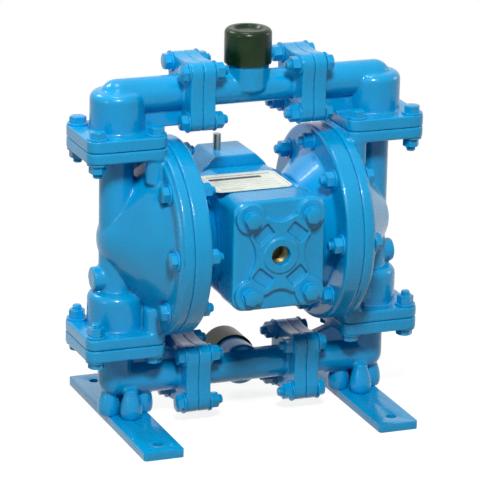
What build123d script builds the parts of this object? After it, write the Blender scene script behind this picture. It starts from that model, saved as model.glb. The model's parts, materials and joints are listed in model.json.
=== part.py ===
"""Air operated double diaphragm pump with cast housings, 1 in ports and a bolted manifold.

The diaphragm rod runs along X, the air inlet faces -Y and Z is up.
The origin is the centre of the foot bolt pattern, on the floor.
The right half is modelled, and what stands twice is mirrored in the YZ plane.
"""
import os
from build123d import *

os.makedirs("parts", exist_ok=True)

# ---- driving dimensions, in millimetres ----
# main axes
pump_axis_z = 184.5          # height of the diaphragm rod
column_x = 131.5             # ball valve columns, left and right of the middle
pipe_rise = 141.0            # manifold pipes above and below the rod
chamber_seam_rise = 97.5     # flat flanges above and below the rod
side_seam_x = 56.5           # upright flanges between elbow and tee
diaphragm_seam_x = 86.0      # where a diaphragm is clamped

# foot bars
foot_x = 120.5
foot_width = 40.0
foot_length = 226.0
foot_thickness = 8.0
foot_corner = 3.0
foot_hole_spacing = 186.0
foot_hole_radius = 5.25
foot_boss_spread = 17.0      # from the middle of the bar to each of its four bosses
foot_boss_radius = 9.6
foot_boss_neck = 6.2
foot_boss_height = 27.0
foot_boss_toe = 1.5          # how much narrower a boss stands on the bar than at its widest
foot_boss_waist = 1.0        # how much narrower it is where the taper to the neck starts
foot_boss_belly = 0.25       # height of the widest place, as a share of the boss
foot_boss_shoulder = 0.45    # height where the taper to the neck starts
foot_boss_start_lean = (-0.35, 1)     # direction of the taper where it starts
foot_boss_end_lean = (-0.2, 1)        # and at the neck
foot_screw_radius = 3.2
foot_screw_head = 6.2
foot_screw_length = 20.0

# fasteners, 3/8 in hex
bolt_radius = 4.76
bolt_clearance = 0.5
hex_across_flats = 14.3
hex_head_height = 6.3
nut_height = 8.2
washer_radius = 10.2
washer_thickness = 1.6
thread_stand_out = 4.6       # what a bolt shows past its nut
blind_thread = 14.0

# flat flanges of the valve columns
flat_flange_margin = 11.0     # from a bolt's axis to the flange's edge
flat_flange_corner = 11.0
flat_flange_thickness = 11.5
flat_bolt_spacing = 58.0
flat_boss_radius = 10.2      # thread bosses beside the diaphragm rim
flat_boss_wall = 10.0        # left under a blind thread

# upright flanges of the manifold
side_flange_margin = 9.5      # from a bolt's axis to the flange's edge
side_flange_corner = 10.5
side_flange_thickness = 12.6
side_bolt_spacing = 48.0
side_flange_waist = 2.0      # how far each side of the flange is drawn in

# pipes, cages and ports
pipe_bore_radius = 12.5
tee_pipe_radius = 15.6
elbow_pipe_radius = 16.6
column_radius = 16.6
discharge_cage_radius = 26.0
discharge_cage_top = 332.0
suction_cage_radius = 27.5
suction_cage_top = 134.5
cage_shoulder = 8.0
cage_bore_radius = 20.5
flow_slot_radius = 4.5       # four slots let fluid past a ball held against its stop
flow_slot_height = 12.0
web_thickness = 12.0
port_boss_radius = 20.5
port_boss_reach = 51.0       # from the pipe's axis to the port's face
port_boss_root = 3.0         # the boss starts this far behind the pipe's axis
port_boss_round = 4.5
port_bore_radius = 15.3
port_bore_depth = 22.0
column_stub_radius = 11.5    # round cast stub on the column
column_stub_z = 147.5
column_stub_reach = 24.5

# ball valves
ball_radius = 16.0
ball_lift = 8.0
seat_outer_radius = 23.5
seat_bore_radius = 11.5
seat_thickness = 6.0
seat_gasket_thickness = 1.0
seat_cone = 3.0
seat_gap = 0.3
fit_gap = 0.1

# outer chambers
rim_radius = 96.0
rim_thickness = 10.0
rim_ring_radius = 92.0
rim_ring_height = 3.5
rim_bolt_circle = 82.0
rim_bolt_count = 8
dome_base_radius = 78.0
dome_fall = 1.3              # how much the cone narrows for each unit along the rod
dome_nose_x = 149.5
dome_wall = 7.0
bolt_scoop_radius = 11.6

# diaphragms and their plates
diaphragm_radius = 74.0
diaphragm_thickness = 3.0
diaphragm_roll_outer = 66.0
diaphragm_roll_inner = 46.0
diaphragm_roll_height = 7.0
plate_radius = 42.0
plate_edge_thickness = 3.0
inner_plate_thickness = 5.0
outer_plate_thickness = 8.0
plate_stud_radius = 5.0
plate_stud_depth = 18.0
stroke = 20.0                # full travel of the rod
rod_radius = 8.0
rod_running_gap = 0.05
rod_bore_relief = 1.0
bushing_wall = 3.0
bushing_shoulder = 1.5       # inner chamber left between the block and a bushing
seal_width = 3.0

# inner chambers
inner_rim_thickness = 18.0
inner_cone_base_radius = 70.5
inner_cone_hub_radius = 48.0
air_space_clearance = 2.5    # left between a plate and the wall at the end of the stroke
air_space_radius = 64.0
rim_fillet = 2.5

# centre block
block_half_width = 46.0
block_height = 109.0
block_front_y = -55.0
block_back_y = 26.0
block_corner = 9.0
block_top_facet_width = 18.0
block_top_facet_drop = 9.0

# air inlet cover
gasket_thickness = 1.0
gasket_lap = 3.0             # how far the gasket reaches over the pilot valve
cover_depth = 35.0
cover_overhang = 0.5         # past the block, left and right
cover_set_in = 0.5           # short of the block, above and below
cover_corner = 12.0
cover_edge_fillet = 3.0
cover_bolt_inset_x = 15.65   # from the block's sides
cover_bolt_inset_z = 16.6    # from its top and bottom
cover_rib_height = 4.0
cover_lobe_radius = 14.5
cover_hollow_top = 21.0      # from the block's top to the hollow of the cross, and from its bottom
cover_hollow_side = 21.5     # and from its sides
cover_hub_radius = 17.3
cover_hub_height = 6.0
inlet_bore_radius = 9.4
cover_wall = 8.0
pocket_width = 19.0
pocket_length = 12.5
pocket_distance = 27.5       # from the middle to the middle of a pocket
pocket_depth = 3.5

# pilot valve
pilot_axis_y = -30.0
pilot_pocket_back_y = -16.5
pilot_body_height = 40.0
pilot_body_width = 64.0
pilot_body_clearance = 0.5
pilot_spool_radius = 5.5
pilot_spool_land = 10.0
pilot_spool_neck = 3.6
pilot_travel = 3.0           # to each side
actuator_radius = 3.6
actuator_tip_gap = 1.2       # left between an actuator's tip and a plate at its nearest
running_gap = 0.05

# main air valve
valve_depth = 50.0
valve_bottom_z = 139.0
valve_shoulder_z = 226.0
valve_step_z = 240.0
valve_step_x = 31.0
valve_top_z = 249.5
valve_top_x = 21.0
valve_gasket_thickness = 1.0
spool_axis_z = 202.0
sleeve_radius = 15.0
spool_radius = 10.0
spool_land = 12.0
spool_neck = 6.5
spool_travel = 6.0           # to each side
spool_end_gap = 1.0          # left between the spool and an end cap at the end of its travel
end_cap_radius = 19.0
end_cap_thickness = 6.0
end_cap_gap = 1.0            # left between an end cap and the inner chamber beside it
exhaust_bore_radius = 9.4
exhaust_boss_radius = 15.5
exhaust_boss_height = 6.0
exhaust_bore_depth = 16.0
exhaust_z = 165.0
valve_bolt_inset = 13.0      # from the valve's sides
valve_bolts_above = 40.0     # from the rod's height up to the upper pair
valve_bolts_below = 34.0
pin_radius = 3.9
pin_height = 16.0
pin_x = -10.0

# nameplate
nameplate_overhang = 5.0     # past the block on the left; on the right it ends at the facet
nameplate_depth = 56.0
nameplate_thickness = 0.8
nameplate_corner = 7.0

# port caps
cap_radius = 22.8
cap_length = 33.5
cap_roof = 4.0
cap_recess_radius = 14.5
cap_recess_depth = 2.5
cap_gap = 0.3
cap_round = 5.0

# ---- what follows from them ----
high_seam_z = pump_axis_z + chamber_seam_rise
low_seam_z = pump_axis_z - chamber_seam_rise
high_pipe_z = pump_axis_z + pipe_rise
low_pipe_z = pump_axis_z - pipe_rise
flat_half = flat_bolt_spacing / 2
side_half = side_bolt_spacing / 2
flat_flange_size = flat_bolt_spacing + 2 * flat_flange_margin
side_flange_size = side_bolt_spacing + 2 * side_flange_margin
half_stroke = stroke / 2
rim_face_x = diaphragm_seam_x + rim_thickness
ring_face_x = rim_face_x + rim_ring_height
inner_rim_back_x = diaphragm_seam_x - inner_rim_thickness
inner_plate_back_x = diaphragm_seam_x - inner_plate_thickness
air_space_x = inner_plate_back_x - half_stroke - air_space_clearance
outer_plate_x = diaphragm_seam_x + diaphragm_thickness
cover_back_y = block_front_y - gasket_thickness
cover_face_y = cover_back_y - cover_depth
cover_rib_y = cover_face_y - cover_rib_height
cover_hub_y = cover_face_y - cover_hub_height
block_top_z = pump_axis_z + block_height / 2
top_facet_x = block_half_width - block_top_facet_width
cover_width = 2 * (block_half_width + cover_overhang)
cover_height = block_height - 2 * cover_set_in
cover_bolt_spacing_x = 2 * (block_half_width - cover_bolt_inset_x)
cover_bolt_spacing_z = block_height - 2 * cover_bolt_inset_z
cover_waist_top = block_height / 2 - cover_hollow_top
cover_waist_side = block_half_width - cover_hollow_side
nameplate_left_x = -(block_half_width + nameplate_overhang)
nameplate_right_x = top_facet_x
valve_half_width = block_half_width - end_cap_thickness - end_cap_gap
valve_bolt_spacing_x = 2 * (valve_half_width - valve_bolt_inset)
bushing_length = air_space_x - seal_width - block_half_width - bushing_shoulder
valve_front_y = block_back_y + valve_gasket_thickness
valve_back_y = valve_front_y + valve_depth
spool_axis_y = valve_front_y + valve_depth / 2
bolt_hole = bolt_radius + bolt_clearance
flat_boss_reach = blind_thread + flat_boss_wall
hex_corner_radius = hex_across_flats / 3**0.5
seat_reach = ((ball_radius + seat_gap) ** 2 - seat_bore_radius**2) ** 0.5
ball_rise = seat_reach - seat_cone    # the ball's centre above the flange seam
stop_reach = ((ball_radius + seat_gap) ** 2 - pipe_bore_radius**2) ** 0.5
cage_stop_rise = ball_rise + ball_lift + stop_reach

rod_axis = Axis((0, 0, pump_axis_z), (1, 0, 0))


def export_piece(piece, name):
    piece.label = name
    export_step(piece, f"parts/{name}.step")


def export_pair(right_piece, name):
    export_piece(right_piece, f"{name}_right")
    export_piece(mirror(right_piece, about=Plane.YZ), f"{name}_left")


def square_corners(half):
    return [(x, y) for x in (-half, half) for y in (-half, half)]


def ring_of_bolts(skip_upright):
    """Angles of the diaphragm flange bolts, from +Y; the two upright ones are studs."""
    pitch = 360 / rim_bolt_count
    angles = [pitch * i for i in range(rim_bolt_count)]
    if skip_upright:
        return [angle for angle in angles if angle not in (90, 270)]
    return angles


def around_rod(x, angles, facing):
    """Planes on the rim bolt circle at x, with their z axis along +X or -X."""
    face = Plane(origin=(x, 0, pump_axis_z), x_dir=(0, 1, 0), z_dir=(facing, 0, 0))
    spots = [Vector(rim_bolt_circle, 0, 0).rotate(Axis.Z, angle) for angle in angles]
    return [
        Plane(origin=(x, spot.X, pump_axis_z + spot.Y), x_dir=face.x_dir, z_dir=face.z_dir)
        for spot in spots
    ]


def hex_bolts(seats, shank):
    """Hex bolts with a plain washer, seated on planes whose z axis runs down the shank."""
    with BuildPart() as bolts:
        for seat in seats:
            with BuildSketch(seat):
                Circle(washer_radius)
            extrude(amount=-washer_thickness)
            with BuildSketch(seat.offset(-washer_thickness)):
                RegularPolygon(hex_corner_radius, 6)
            extrude(amount=-hex_head_height)
            with BuildSketch(seat):
                Circle(bolt_radius)
            extrude(amount=shank)
    return bolts.part


def hex_nuts(seats):
    """Hex nuts on a plain washer, seated on planes whose z axis points away from the joint."""
    with BuildPart() as nuts:
        for seat in seats:
            with BuildSketch(seat):
                Circle(washer_radius)
                Circle(bolt_radius + fit_gap, mode=Mode.SUBTRACT)
            extrude(amount=washer_thickness)
            with BuildSketch(seat.offset(washer_thickness)):
                RegularPolygon(hex_corner_radius, 6)
                Circle(bolt_radius + fit_gap, mode=Mode.SUBTRACT)
            extrude(amount=nut_height)
    return nuts.part


def flat_flange_outline():
    """Square flange of a valve column, to be drawn on a level plane."""
    with Locations((column_x, 0)):
        RectangleRounded(flat_flange_size, flat_flange_size, flat_flange_corner)


def side_flange_outline():
    """Square manifold flange with its four sides drawn in between the bolts."""
    half = side_flange_size / 2
    chord = side_half - side_flange_corner / 2
    waist_radius = (chord**2 + side_flange_waist**2) / (2 * side_flange_waist)
    RectangleRounded(side_flange_size, side_flange_size, side_flange_corner)
    with PolarLocations(half - side_flange_waist + waist_radius, 4):
        Circle(waist_radius, mode=Mode.SUBTRACT)


def drill_flat_flange(depth_plane, amount, spots, radius):
    with BuildSketch(depth_plane) as holes:
        with Locations(*[(column_x + x, y) for x, y in spots]):
            Circle(radius)
    extrude(holes.sketch, amount=amount, mode=Mode.SUBTRACT)


def cut_flow_slots(stop_z):
    """Slots round the edge that stops a ball, in the wall of its waterway."""
    with BuildSketch(Plane.XY.offset(stop_z)) as slots:
        with Locations((column_x, 0)):
            with PolarLocations(pipe_bore_radius, 4, start_angle=45):
                Circle(flow_slot_radius)
    extrude(slots.sketch, amount=flow_slot_height, mode=Mode.SUBTRACT)


outer_corners = [spot for spot in square_corners(flat_half) if spot[0] > 0]
inner_corners = [spot for spot in square_corners(flat_half) if spot[0] < 0]
column_axis = Axis((column_x, 0, 0), (0, 0, 1))

# ---- foot bars: flat steel, drilled for the floor, screwed up into the elbows ----
foot_screw_spots = [(foot_x, foot_boss_spread), (foot_x, -foot_boss_spread)]
foot_boss_spots = foot_screw_spots + [
    (foot_x + foot_boss_spread, 0),
    (foot_x - foot_boss_spread, 0),
]
with BuildPart() as foot_bar:
    with BuildSketch():
        with Locations((foot_x, 0)):
            RectangleRounded(foot_width, foot_length, foot_corner)
        with Locations((foot_x, foot_hole_spacing / 2), (foot_x, -foot_hole_spacing / 2)):
            Circle(foot_hole_radius, mode=Mode.SUBTRACT)
    extrude(amount=foot_thickness)
    with Locations(*[Plane(origin=(x, y, 0), z_dir=(0, 0, -1)) for x, y in foot_screw_spots]):
        CounterSinkHole(foot_screw_radius + fit_gap, foot_screw_head + fit_gap, foot_thickness, 90)
export_pair(foot_bar.part, "foot_bar")

with BuildPart() as foot_screws_half:
    for x, y in foot_screw_spots:
        with BuildSketch(Plane(origin=(x, y, 0), x_dir=(1, 0, 0), z_dir=(0, -1, 0))):
            with BuildLine():
                Polyline(
                    (0, 0),
                    (foot_screw_head, 0),
                    (foot_screw_radius, foot_screw_head - foot_screw_radius),
                    (foot_screw_radius, foot_screw_length),
                    (0, foot_screw_length),
                    close=True,
                )
            make_face()
        revolve(axis=Axis((x, y, 0), (0, 0, 1)))
with BuildPart() as foot_screws:
    add(foot_screws_half.part)
    add(mirror(foot_screws_half.part, about=Plane.YZ, mode=Mode.PRIVATE))
export_piece(foot_screws.part, "foot_screws")

# ---- suction elbow: flange, pipe corner, web and the four bulbs that stand on the bar ----
with BuildPart() as suction_elbow:
    with BuildSketch(Plane.XY.offset(low_seam_z)):
        flat_flange_outline()
    extrude(amount=-flat_flange_thickness)
    with BuildSketch(Plane.XY.offset(low_pipe_z)):
        with Locations((column_x, 0)):
            Circle(column_radius)
    extrude(until=Until.NEXT)
    with Locations((column_x, 0, low_pipe_z)):
        Sphere(column_radius)
    with BuildSketch(Plane.YZ.offset(side_seam_x)):
        with Locations((0, low_pipe_z)):
            Circle(elbow_pipe_radius)
    extrude(amount=column_x - side_seam_x)
    with BuildSketch(Plane(origin=(side_seam_x, 0, low_pipe_z), x_dir=(0, 1, 0), z_dir=(1, 0, 0))):
        side_flange_outline()
    extrude(amount=side_flange_thickness)
    with BuildSketch(Plane.XZ):
        with BuildLine():
            Polyline(
                (side_seam_x + side_flange_thickness, low_pipe_z),
                (side_seam_x + side_flange_thickness, low_pipe_z + side_half),
                (column_x - flat_flange_size / 2, low_seam_z - flat_flange_thickness),
                (column_x, low_seam_z - flat_flange_thickness),
                (column_x, low_pipe_z),
                close=True,
            )
        make_face()
    extrude(amount=web_thickness / 2, both=True)
    for x, y in foot_boss_spots:
        with BuildSketch(Plane(origin=(x, y, foot_thickness), x_dir=(1, 0, 0), z_dir=(0, -1, 0))):
            with BuildLine():
                toe = (foot_boss_radius - foot_boss_toe, 0)
                belly = (foot_boss_radius, foot_boss_height * foot_boss_belly)
                waist = (foot_boss_radius - foot_boss_waist, foot_boss_height * foot_boss_shoulder)
                neck = (foot_boss_neck, foot_boss_height)
                Polyline((0, foot_boss_height), (0, 0), toe)
                ThreePointArc(toe, belly, waist)
                Spline(waist, neck, tangents=[foot_boss_start_lean, foot_boss_end_lean])
                Line((foot_boss_neck, foot_boss_height), (0, foot_boss_height))
            make_face()
        revolve(axis=Axis((x, y, 0), (0, 0, 1)))
    # waterway
    with BuildSketch(Plane.XY.offset(low_seam_z)):
        with Locations((column_x, 0)):
            Circle(pipe_bore_radius)
    extrude(amount=-(low_seam_z - low_pipe_z), mode=Mode.SUBTRACT)
    with Locations((column_x, 0, low_pipe_z)):
        Sphere(pipe_bore_radius, mode=Mode.SUBTRACT)
    with BuildSketch(Plane.YZ.offset(side_seam_x)):
        with Locations((0, low_pipe_z)):
            Circle(pipe_bore_radius)
    extrude(amount=column_x - side_seam_x, mode=Mode.SUBTRACT)
    with BuildSketch(Plane.XY.offset(low_seam_z)):
        with Locations((column_x, 0)):
            Circle(seat_outer_radius + fit_gap)
    extrude(amount=-(seat_thickness + seat_gasket_thickness), mode=Mode.SUBTRACT)
    # bolt holes
    drill_flat_flange(
        Plane.XY.offset(low_seam_z), -flat_flange_thickness, square_corners(flat_half), bolt_hole
    )
    with BuildSketch(Plane(origin=(side_seam_x, 0, low_pipe_z), x_dir=(0, 1, 0), z_dir=(1, 0, 0))):
        with GridLocations(side_bolt_spacing, side_bolt_spacing, 2, 2):
            Circle(bolt_hole)
    extrude(amount=side_flange_thickness, mode=Mode.SUBTRACT)
    for x, y in foot_screw_spots:
        with BuildSketch(Plane.XY.offset(foot_thickness)):
            with Locations((x, y)):
                Circle(foot_screw_radius + fit_gap)
        extrude(amount=foot_screw_length - foot_thickness + fit_gap, mode=Mode.SUBTRACT)
export_pair(suction_elbow.part, "suction_elbow")

# ---- discharge elbow: flange, ball cage, pipe to the middle and the web under it ----
with BuildPart() as discharge_elbow:
    with BuildSketch(Plane.XY.offset(high_seam_z)):
        flat_flange_outline()
    extrude(amount=flat_flange_thickness)
    with BuildSketch(Plane.XZ):
        with BuildLine():
            Polyline(
                (column_x, high_seam_z),
                (column_x + discharge_cage_radius, high_seam_z),
                (column_x + discharge_cage_radius, discharge_cage_top - cage_shoulder),
            )
            RadiusArc(
                (column_x + discharge_cage_radius, discharge_cage_top - cage_shoulder),
                (column_x + discharge_cage_radius - cage_shoulder, discharge_cage_top),
                -cage_shoulder,
            )
            Polyline(
                (column_x + discharge_cage_radius - cage_shoulder, discharge_cage_top),
                (column_x, discharge_cage_top),
                (column_x, high_seam_z),
            )
        make_face()
    revolve(axis=column_axis)
    with Locations((column_x, 0, high_pipe_z)):
        Sphere(elbow_pipe_radius)
    with BuildSketch(Plane.YZ.offset(side_seam_x)):
        with Locations((0, high_pipe_z)):
            Circle(elbow_pipe_radius)
    extrude(amount=column_x - side_seam_x)
    with BuildSketch(Plane(origin=(side_seam_x, 0, high_pipe_z), x_dir=(0, 1, 0), z_dir=(1, 0, 0))):
        side_flange_outline()
    extrude(amount=side_flange_thickness)
    with BuildSketch(Plane.XZ):
        with BuildLine():
            Polyline(
                (side_seam_x + side_flange_thickness, high_pipe_z),
                (side_seam_x + side_flange_thickness, high_seam_z + flat_flange_thickness),
                (column_x, high_seam_z + flat_flange_thickness),
                (column_x, high_pipe_z),
                close=True,
            )
        make_face()
    extrude(amount=web_thickness / 2, both=True)
    with BuildSketch(Plane.XY.offset(high_seam_z)):
        with Locations((column_x, 0)):
            Circle(cage_bore_radius)
    extrude(amount=cage_stop_rise, mode=Mode.SUBTRACT)
    with BuildSketch(Plane.XY.offset(high_seam_z)):
        with Locations((column_x, 0)):
            Circle(pipe_bore_radius)
    extrude(amount=high_pipe_z - high_seam_z, mode=Mode.SUBTRACT)
    cut_flow_slots(high_seam_z + cage_stop_rise)
    with BuildSketch(Plane.YZ.offset(side_seam_x)):
        with Locations((0, high_pipe_z)):
            Circle(pipe_bore_radius)
    extrude(amount=column_x - side_seam_x, mode=Mode.SUBTRACT)
    with Locations((column_x, 0, high_pipe_z)):
        Sphere(pipe_bore_radius, mode=Mode.SUBTRACT)
    drill_flat_flange(
        Plane.XY.offset(high_seam_z), flat_flange_thickness, square_corners(flat_half), bolt_hole
    )
    with BuildSketch(Plane(origin=(side_seam_x, 0, high_pipe_z), x_dir=(0, 1, 0), z_dir=(1, 0, 0))):
        with GridLocations(side_bolt_spacing, side_bolt_spacing, 2, 2):
            Circle(bolt_hole)
    extrude(amount=side_flange_thickness, mode=Mode.SUBTRACT)
export_pair(discharge_elbow.part, "discharge_elbow")

# ---- manifold tees: a straight pipe between two upright flanges, with a port boss ----
def manifold_tee(pipe_z, port_direction):
    """A tee with its port boss along port_direction, +Z for the discharge and +Y for the suction."""
    port_x_dir = (1, 0, 0)
    centre = Vector(0, 0, pipe_z)
    reach = Vector(port_direction)
    root_plane = Plane(origin=centre - reach * port_boss_root, x_dir=port_x_dir, z_dir=port_direction)
    face_plane = Plane(origin=centre + reach * port_boss_reach, x_dir=port_x_dir, z_dir=port_direction)
    pipe_plane = Plane(origin=centre, x_dir=port_direction, z_dir=(1, 0, 0))
    with BuildPart() as tee:
        with BuildSketch(root_plane) as boss_outline:
            Circle(port_boss_radius)
        extrude(boss_outline.sketch, amount=port_boss_root + port_boss_reach)
        boss_back_edge = tee.edges().filter_by(GeomType.CIRCLE).sort_by(Axis(centre, port_direction))[0]
        fillet(boss_back_edge, port_boss_round)
        with BuildSketch(pipe_plane) as pipe_outline:
            Circle(tee_pipe_radius)
        extrude(pipe_outline.sketch, amount=side_seam_x, both=True)
        for end in (-1, 1):
            flange_plane = Plane(origin=(end * side_seam_x, 0, pipe_z), x_dir=(0, 1, 0), z_dir=(-end, 0, 0))
            with BuildSketch(flange_plane) as flange:
                side_flange_outline()
                with GridLocations(side_bolt_spacing, side_bolt_spacing, 2, 2):
                    Circle(bolt_hole, mode=Mode.SUBTRACT)
            extrude(flange.sketch, amount=side_flange_thickness)
        with BuildSketch(pipe_plane) as waterway:
            Circle(pipe_bore_radius)
        extrude(waterway.sketch, amount=side_seam_x, both=True, mode=Mode.SUBTRACT)
        with BuildSketch(face_plane) as port:
            Circle(port_bore_radius)
        extrude(port.sketch, amount=-port_bore_depth, mode=Mode.SUBTRACT)
        with BuildSketch(face_plane) as throat:
            Circle(pipe_bore_radius)
        extrude(throat.sketch, amount=-port_boss_reach, mode=Mode.SUBTRACT)
    return tee.part


export_piece(manifold_tee(high_pipe_z, (0, 0, 1)), "discharge_tee")
export_piece(manifold_tee(low_pipe_z, (0, 1, 0)), "suction_tee")

# ---- outer chamber: rim, dome, valve column, ball cage and two flat flanges, one casting ----
# the dome is a cone that runs out into a spherical nose centred on the rod's axis
dome_slant = (1 + dome_fall**2) ** 0.5
nose_centre_x = (dome_slant * dome_nose_x - dome_base_radius - dome_fall * ring_face_x) / (
    dome_slant - dome_fall
)
nose_radius = dome_nose_x - nose_centre_x
nose_inside = nose_radius - dome_wall
wall_drop = dome_wall * dome_slant          # the wall measured along the radius
inside_start_x = ring_face_x + (dome_base_radius - wall_drop - diaphragm_roll_outer) / dome_fall


def nose_tangent(radius):
    """Where the cone meets a nose of this radius, in x and height above the rod."""
    return (nose_centre_x + radius * dome_fall / dome_slant, pump_axis_z + radius / dome_slant)


with BuildPart() as outer_chamber:
    with BuildSketch(Plane.XZ):
        with BuildLine():
            Polyline(
                (diaphragm_seam_x, pump_axis_z),
                (diaphragm_seam_x, pump_axis_z + rim_radius),
                (rim_face_x, pump_axis_z + rim_radius),
                (rim_face_x, pump_axis_z + rim_ring_radius),
                (ring_face_x, pump_axis_z + rim_ring_radius),
                (ring_face_x, pump_axis_z + dome_base_radius),
            )
            slope = Line((ring_face_x, pump_axis_z + dome_base_radius), nose_tangent(nose_radius))
            TangentArc(slope @ 1, (dome_nose_x, pump_axis_z), tangent=slope % 1)
            Line((dome_nose_x, pump_axis_z), (diaphragm_seam_x, pump_axis_z))
        make_face()
    revolve(axis=rod_axis)
    # column, cage and flanges
    with BuildSketch(Plane.XY.offset(low_seam_z)):
        with Locations((column_x, 0)):
            Circle(column_radius)
    extrude(amount=2 * chamber_seam_rise)
    with BuildSketch(Plane.XZ):
        with BuildLine():
            Polyline(
                (column_x, low_seam_z),
                (column_x + suction_cage_radius, low_seam_z),
                (column_x + suction_cage_radius, suction_cage_top - cage_shoulder),
            )
            RadiusArc(
                (column_x + suction_cage_radius, suction_cage_top - cage_shoulder),
                (column_x + suction_cage_radius - cage_shoulder, suction_cage_top),
                -cage_shoulder,
            )
            Polyline(
                (column_x + suction_cage_radius - cage_shoulder, suction_cage_top),
                (column_x, suction_cage_top),
                (column_x, low_seam_z),
            )
        make_face()
    revolve(axis=column_axis)
    for seam_z, rise in ((low_seam_z, 1), (high_seam_z, -1)):
        with BuildSketch(Plane.XY.offset(seam_z)):
            flat_flange_outline()
        extrude(amount=rise * flat_flange_thickness)
        with BuildSketch(Plane.XY.offset(seam_z)):
            with Locations(*[(column_x + x, y) for x, y in inner_corners]):
                Circle(flat_boss_radius)
        extrude(amount=rise * (flat_flange_thickness + flat_boss_reach))
    with BuildSketch(Plane.YZ.offset(column_x)):
        with Locations((0, column_stub_z)):
            Circle(column_stub_radius)
    extrude(amount=column_stub_reach)
    # fluid space, diaphragm seat and waterways
    with BuildSketch(Plane.XZ):
        with BuildLine():
            Polyline(
                (diaphragm_seam_x, pump_axis_z),
                (diaphragm_seam_x, pump_axis_z + diaphragm_radius + fit_gap),
                (outer_plate_x, pump_axis_z + diaphragm_radius + fit_gap),
                (outer_plate_x, pump_axis_z + diaphragm_roll_outer),
                (inside_start_x, pump_axis_z + diaphragm_roll_outer),
            )
            inner_slope = Line(
                (inside_start_x, pump_axis_z + diaphragm_roll_outer), nose_tangent(nose_inside)
            )
            inner_nose_x = nose_centre_x + nose_inside
            TangentArc(inner_slope @ 1, (inner_nose_x, pump_axis_z), tangent=inner_slope % 1)
            Line((inner_nose_x, pump_axis_z), (diaphragm_seam_x, pump_axis_z))
        make_face()
    revolve(axis=rod_axis, mode=Mode.SUBTRACT)
    with BuildSketch(Plane.XY.offset(low_seam_z)):
        with Locations((column_x, 0)):
            Circle(cage_bore_radius)
    extrude(amount=cage_stop_rise, mode=Mode.SUBTRACT)
    cut_flow_slots(low_seam_z + cage_stop_rise)
    with BuildSketch(Plane.XY.offset(low_seam_z)):
        with Locations((column_x, 0)):
            Circle(pipe_bore_radius)
    extrude(amount=2 * chamber_seam_rise, mode=Mode.SUBTRACT)
    with BuildSketch(Plane.XY.offset(high_seam_z)):
        with Locations((column_x, 0)):
            Circle(seat_outer_radius + fit_gap)
    extrude(amount=-(seat_thickness + seat_gasket_thickness), mode=Mode.SUBTRACT)
    # bolt holes: through at the outer corners, tapped into the bosses at the inner ones
    for seam_z, rise in ((low_seam_z, 1), (high_seam_z, -1)):
        seam = Plane.XY.offset(seam_z)
        drill_flat_flange(seam, rise * flat_flange_thickness, outer_corners, bolt_hole)
        tapped = flat_flange_thickness + blind_thread
        drill_flat_flange(seam, rise * tapped, inner_corners, bolt_radius + fit_gap)
    # scoops and holes for the rim bolts
    for seat in around_rod(ring_face_x, ring_of_bolts(skip_upright=True), 1):
        with BuildSketch(seat):
            Circle(bolt_scoop_radius)
        extrude(amount=dome_nose_x - ring_face_x, mode=Mode.SUBTRACT)
        with BuildSketch(seat):
            Circle(bolt_hole)
        extrude(amount=diaphragm_seam_x - ring_face_x, mode=Mode.SUBTRACT)
    for seat in around_rod(diaphragm_seam_x, (90, 270), 1):
        with BuildSketch(seat):
            Circle(bolt_radius + fit_gap)
        extrude(amount=blind_thread, mode=Mode.SUBTRACT)
export_pair(outer_chamber.part, "outer_chamber")

# ---- inner chamber: the air side of a diaphragm, a dished disc with a thick rim ----
rod_bore = rod_radius + rod_bore_relief
hub_inner_x = block_half_width
with BuildPart() as inner_chamber:
    with BuildSketch(Plane.XZ):
        with BuildLine():
            Polyline(
                (hub_inner_x, pump_axis_z),
                (hub_inner_x, pump_axis_z + inner_cone_hub_radius),
                (inner_rim_back_x, pump_axis_z + inner_cone_base_radius),
                (inner_rim_back_x, pump_axis_z + rim_radius),
                (diaphragm_seam_x, pump_axis_z + rim_radius),
                (diaphragm_seam_x, pump_axis_z + air_space_radius),
                (air_space_x, pump_axis_z + plate_radius + air_space_clearance),
                (air_space_x, pump_axis_z),
                close=True,
            )
        make_face()
    revolve(axis=rod_axis)
    rim_corner = inner_chamber.edges().filter_by(GeomType.CIRCLE).group_by(SortBy.RADIUS)[-1]
    fillet(rim_corner.sort_by(Axis.X)[0], rim_fillet)
    with BuildSketch(Plane.YZ.offset(hub_inner_x)):
        with Locations((0, pump_axis_z)):
            Circle(rod_bore)
        with Locations((pilot_axis_y, pump_axis_z)):
            Circle(actuator_radius + running_gap)
    extrude(amount=air_space_x - hub_inner_x, mode=Mode.SUBTRACT)
    with BuildSketch(Plane.YZ.offset(air_space_x)):
        with Locations((0, pump_axis_z)):
            Circle(rod_radius + rod_running_gap + bushing_wall)
    extrude(amount=-(bushing_length + seal_width), mode=Mode.SUBTRACT)
    for seat in around_rod(inner_rim_back_x, ring_of_bolts(skip_upright=False), 1):
        with BuildSketch(seat):
            Circle(bolt_hole)
        extrude(amount=inner_rim_thickness, mode=Mode.SUBTRACT)
export_pair(inner_chamber.part, "inner_chamber")

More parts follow.
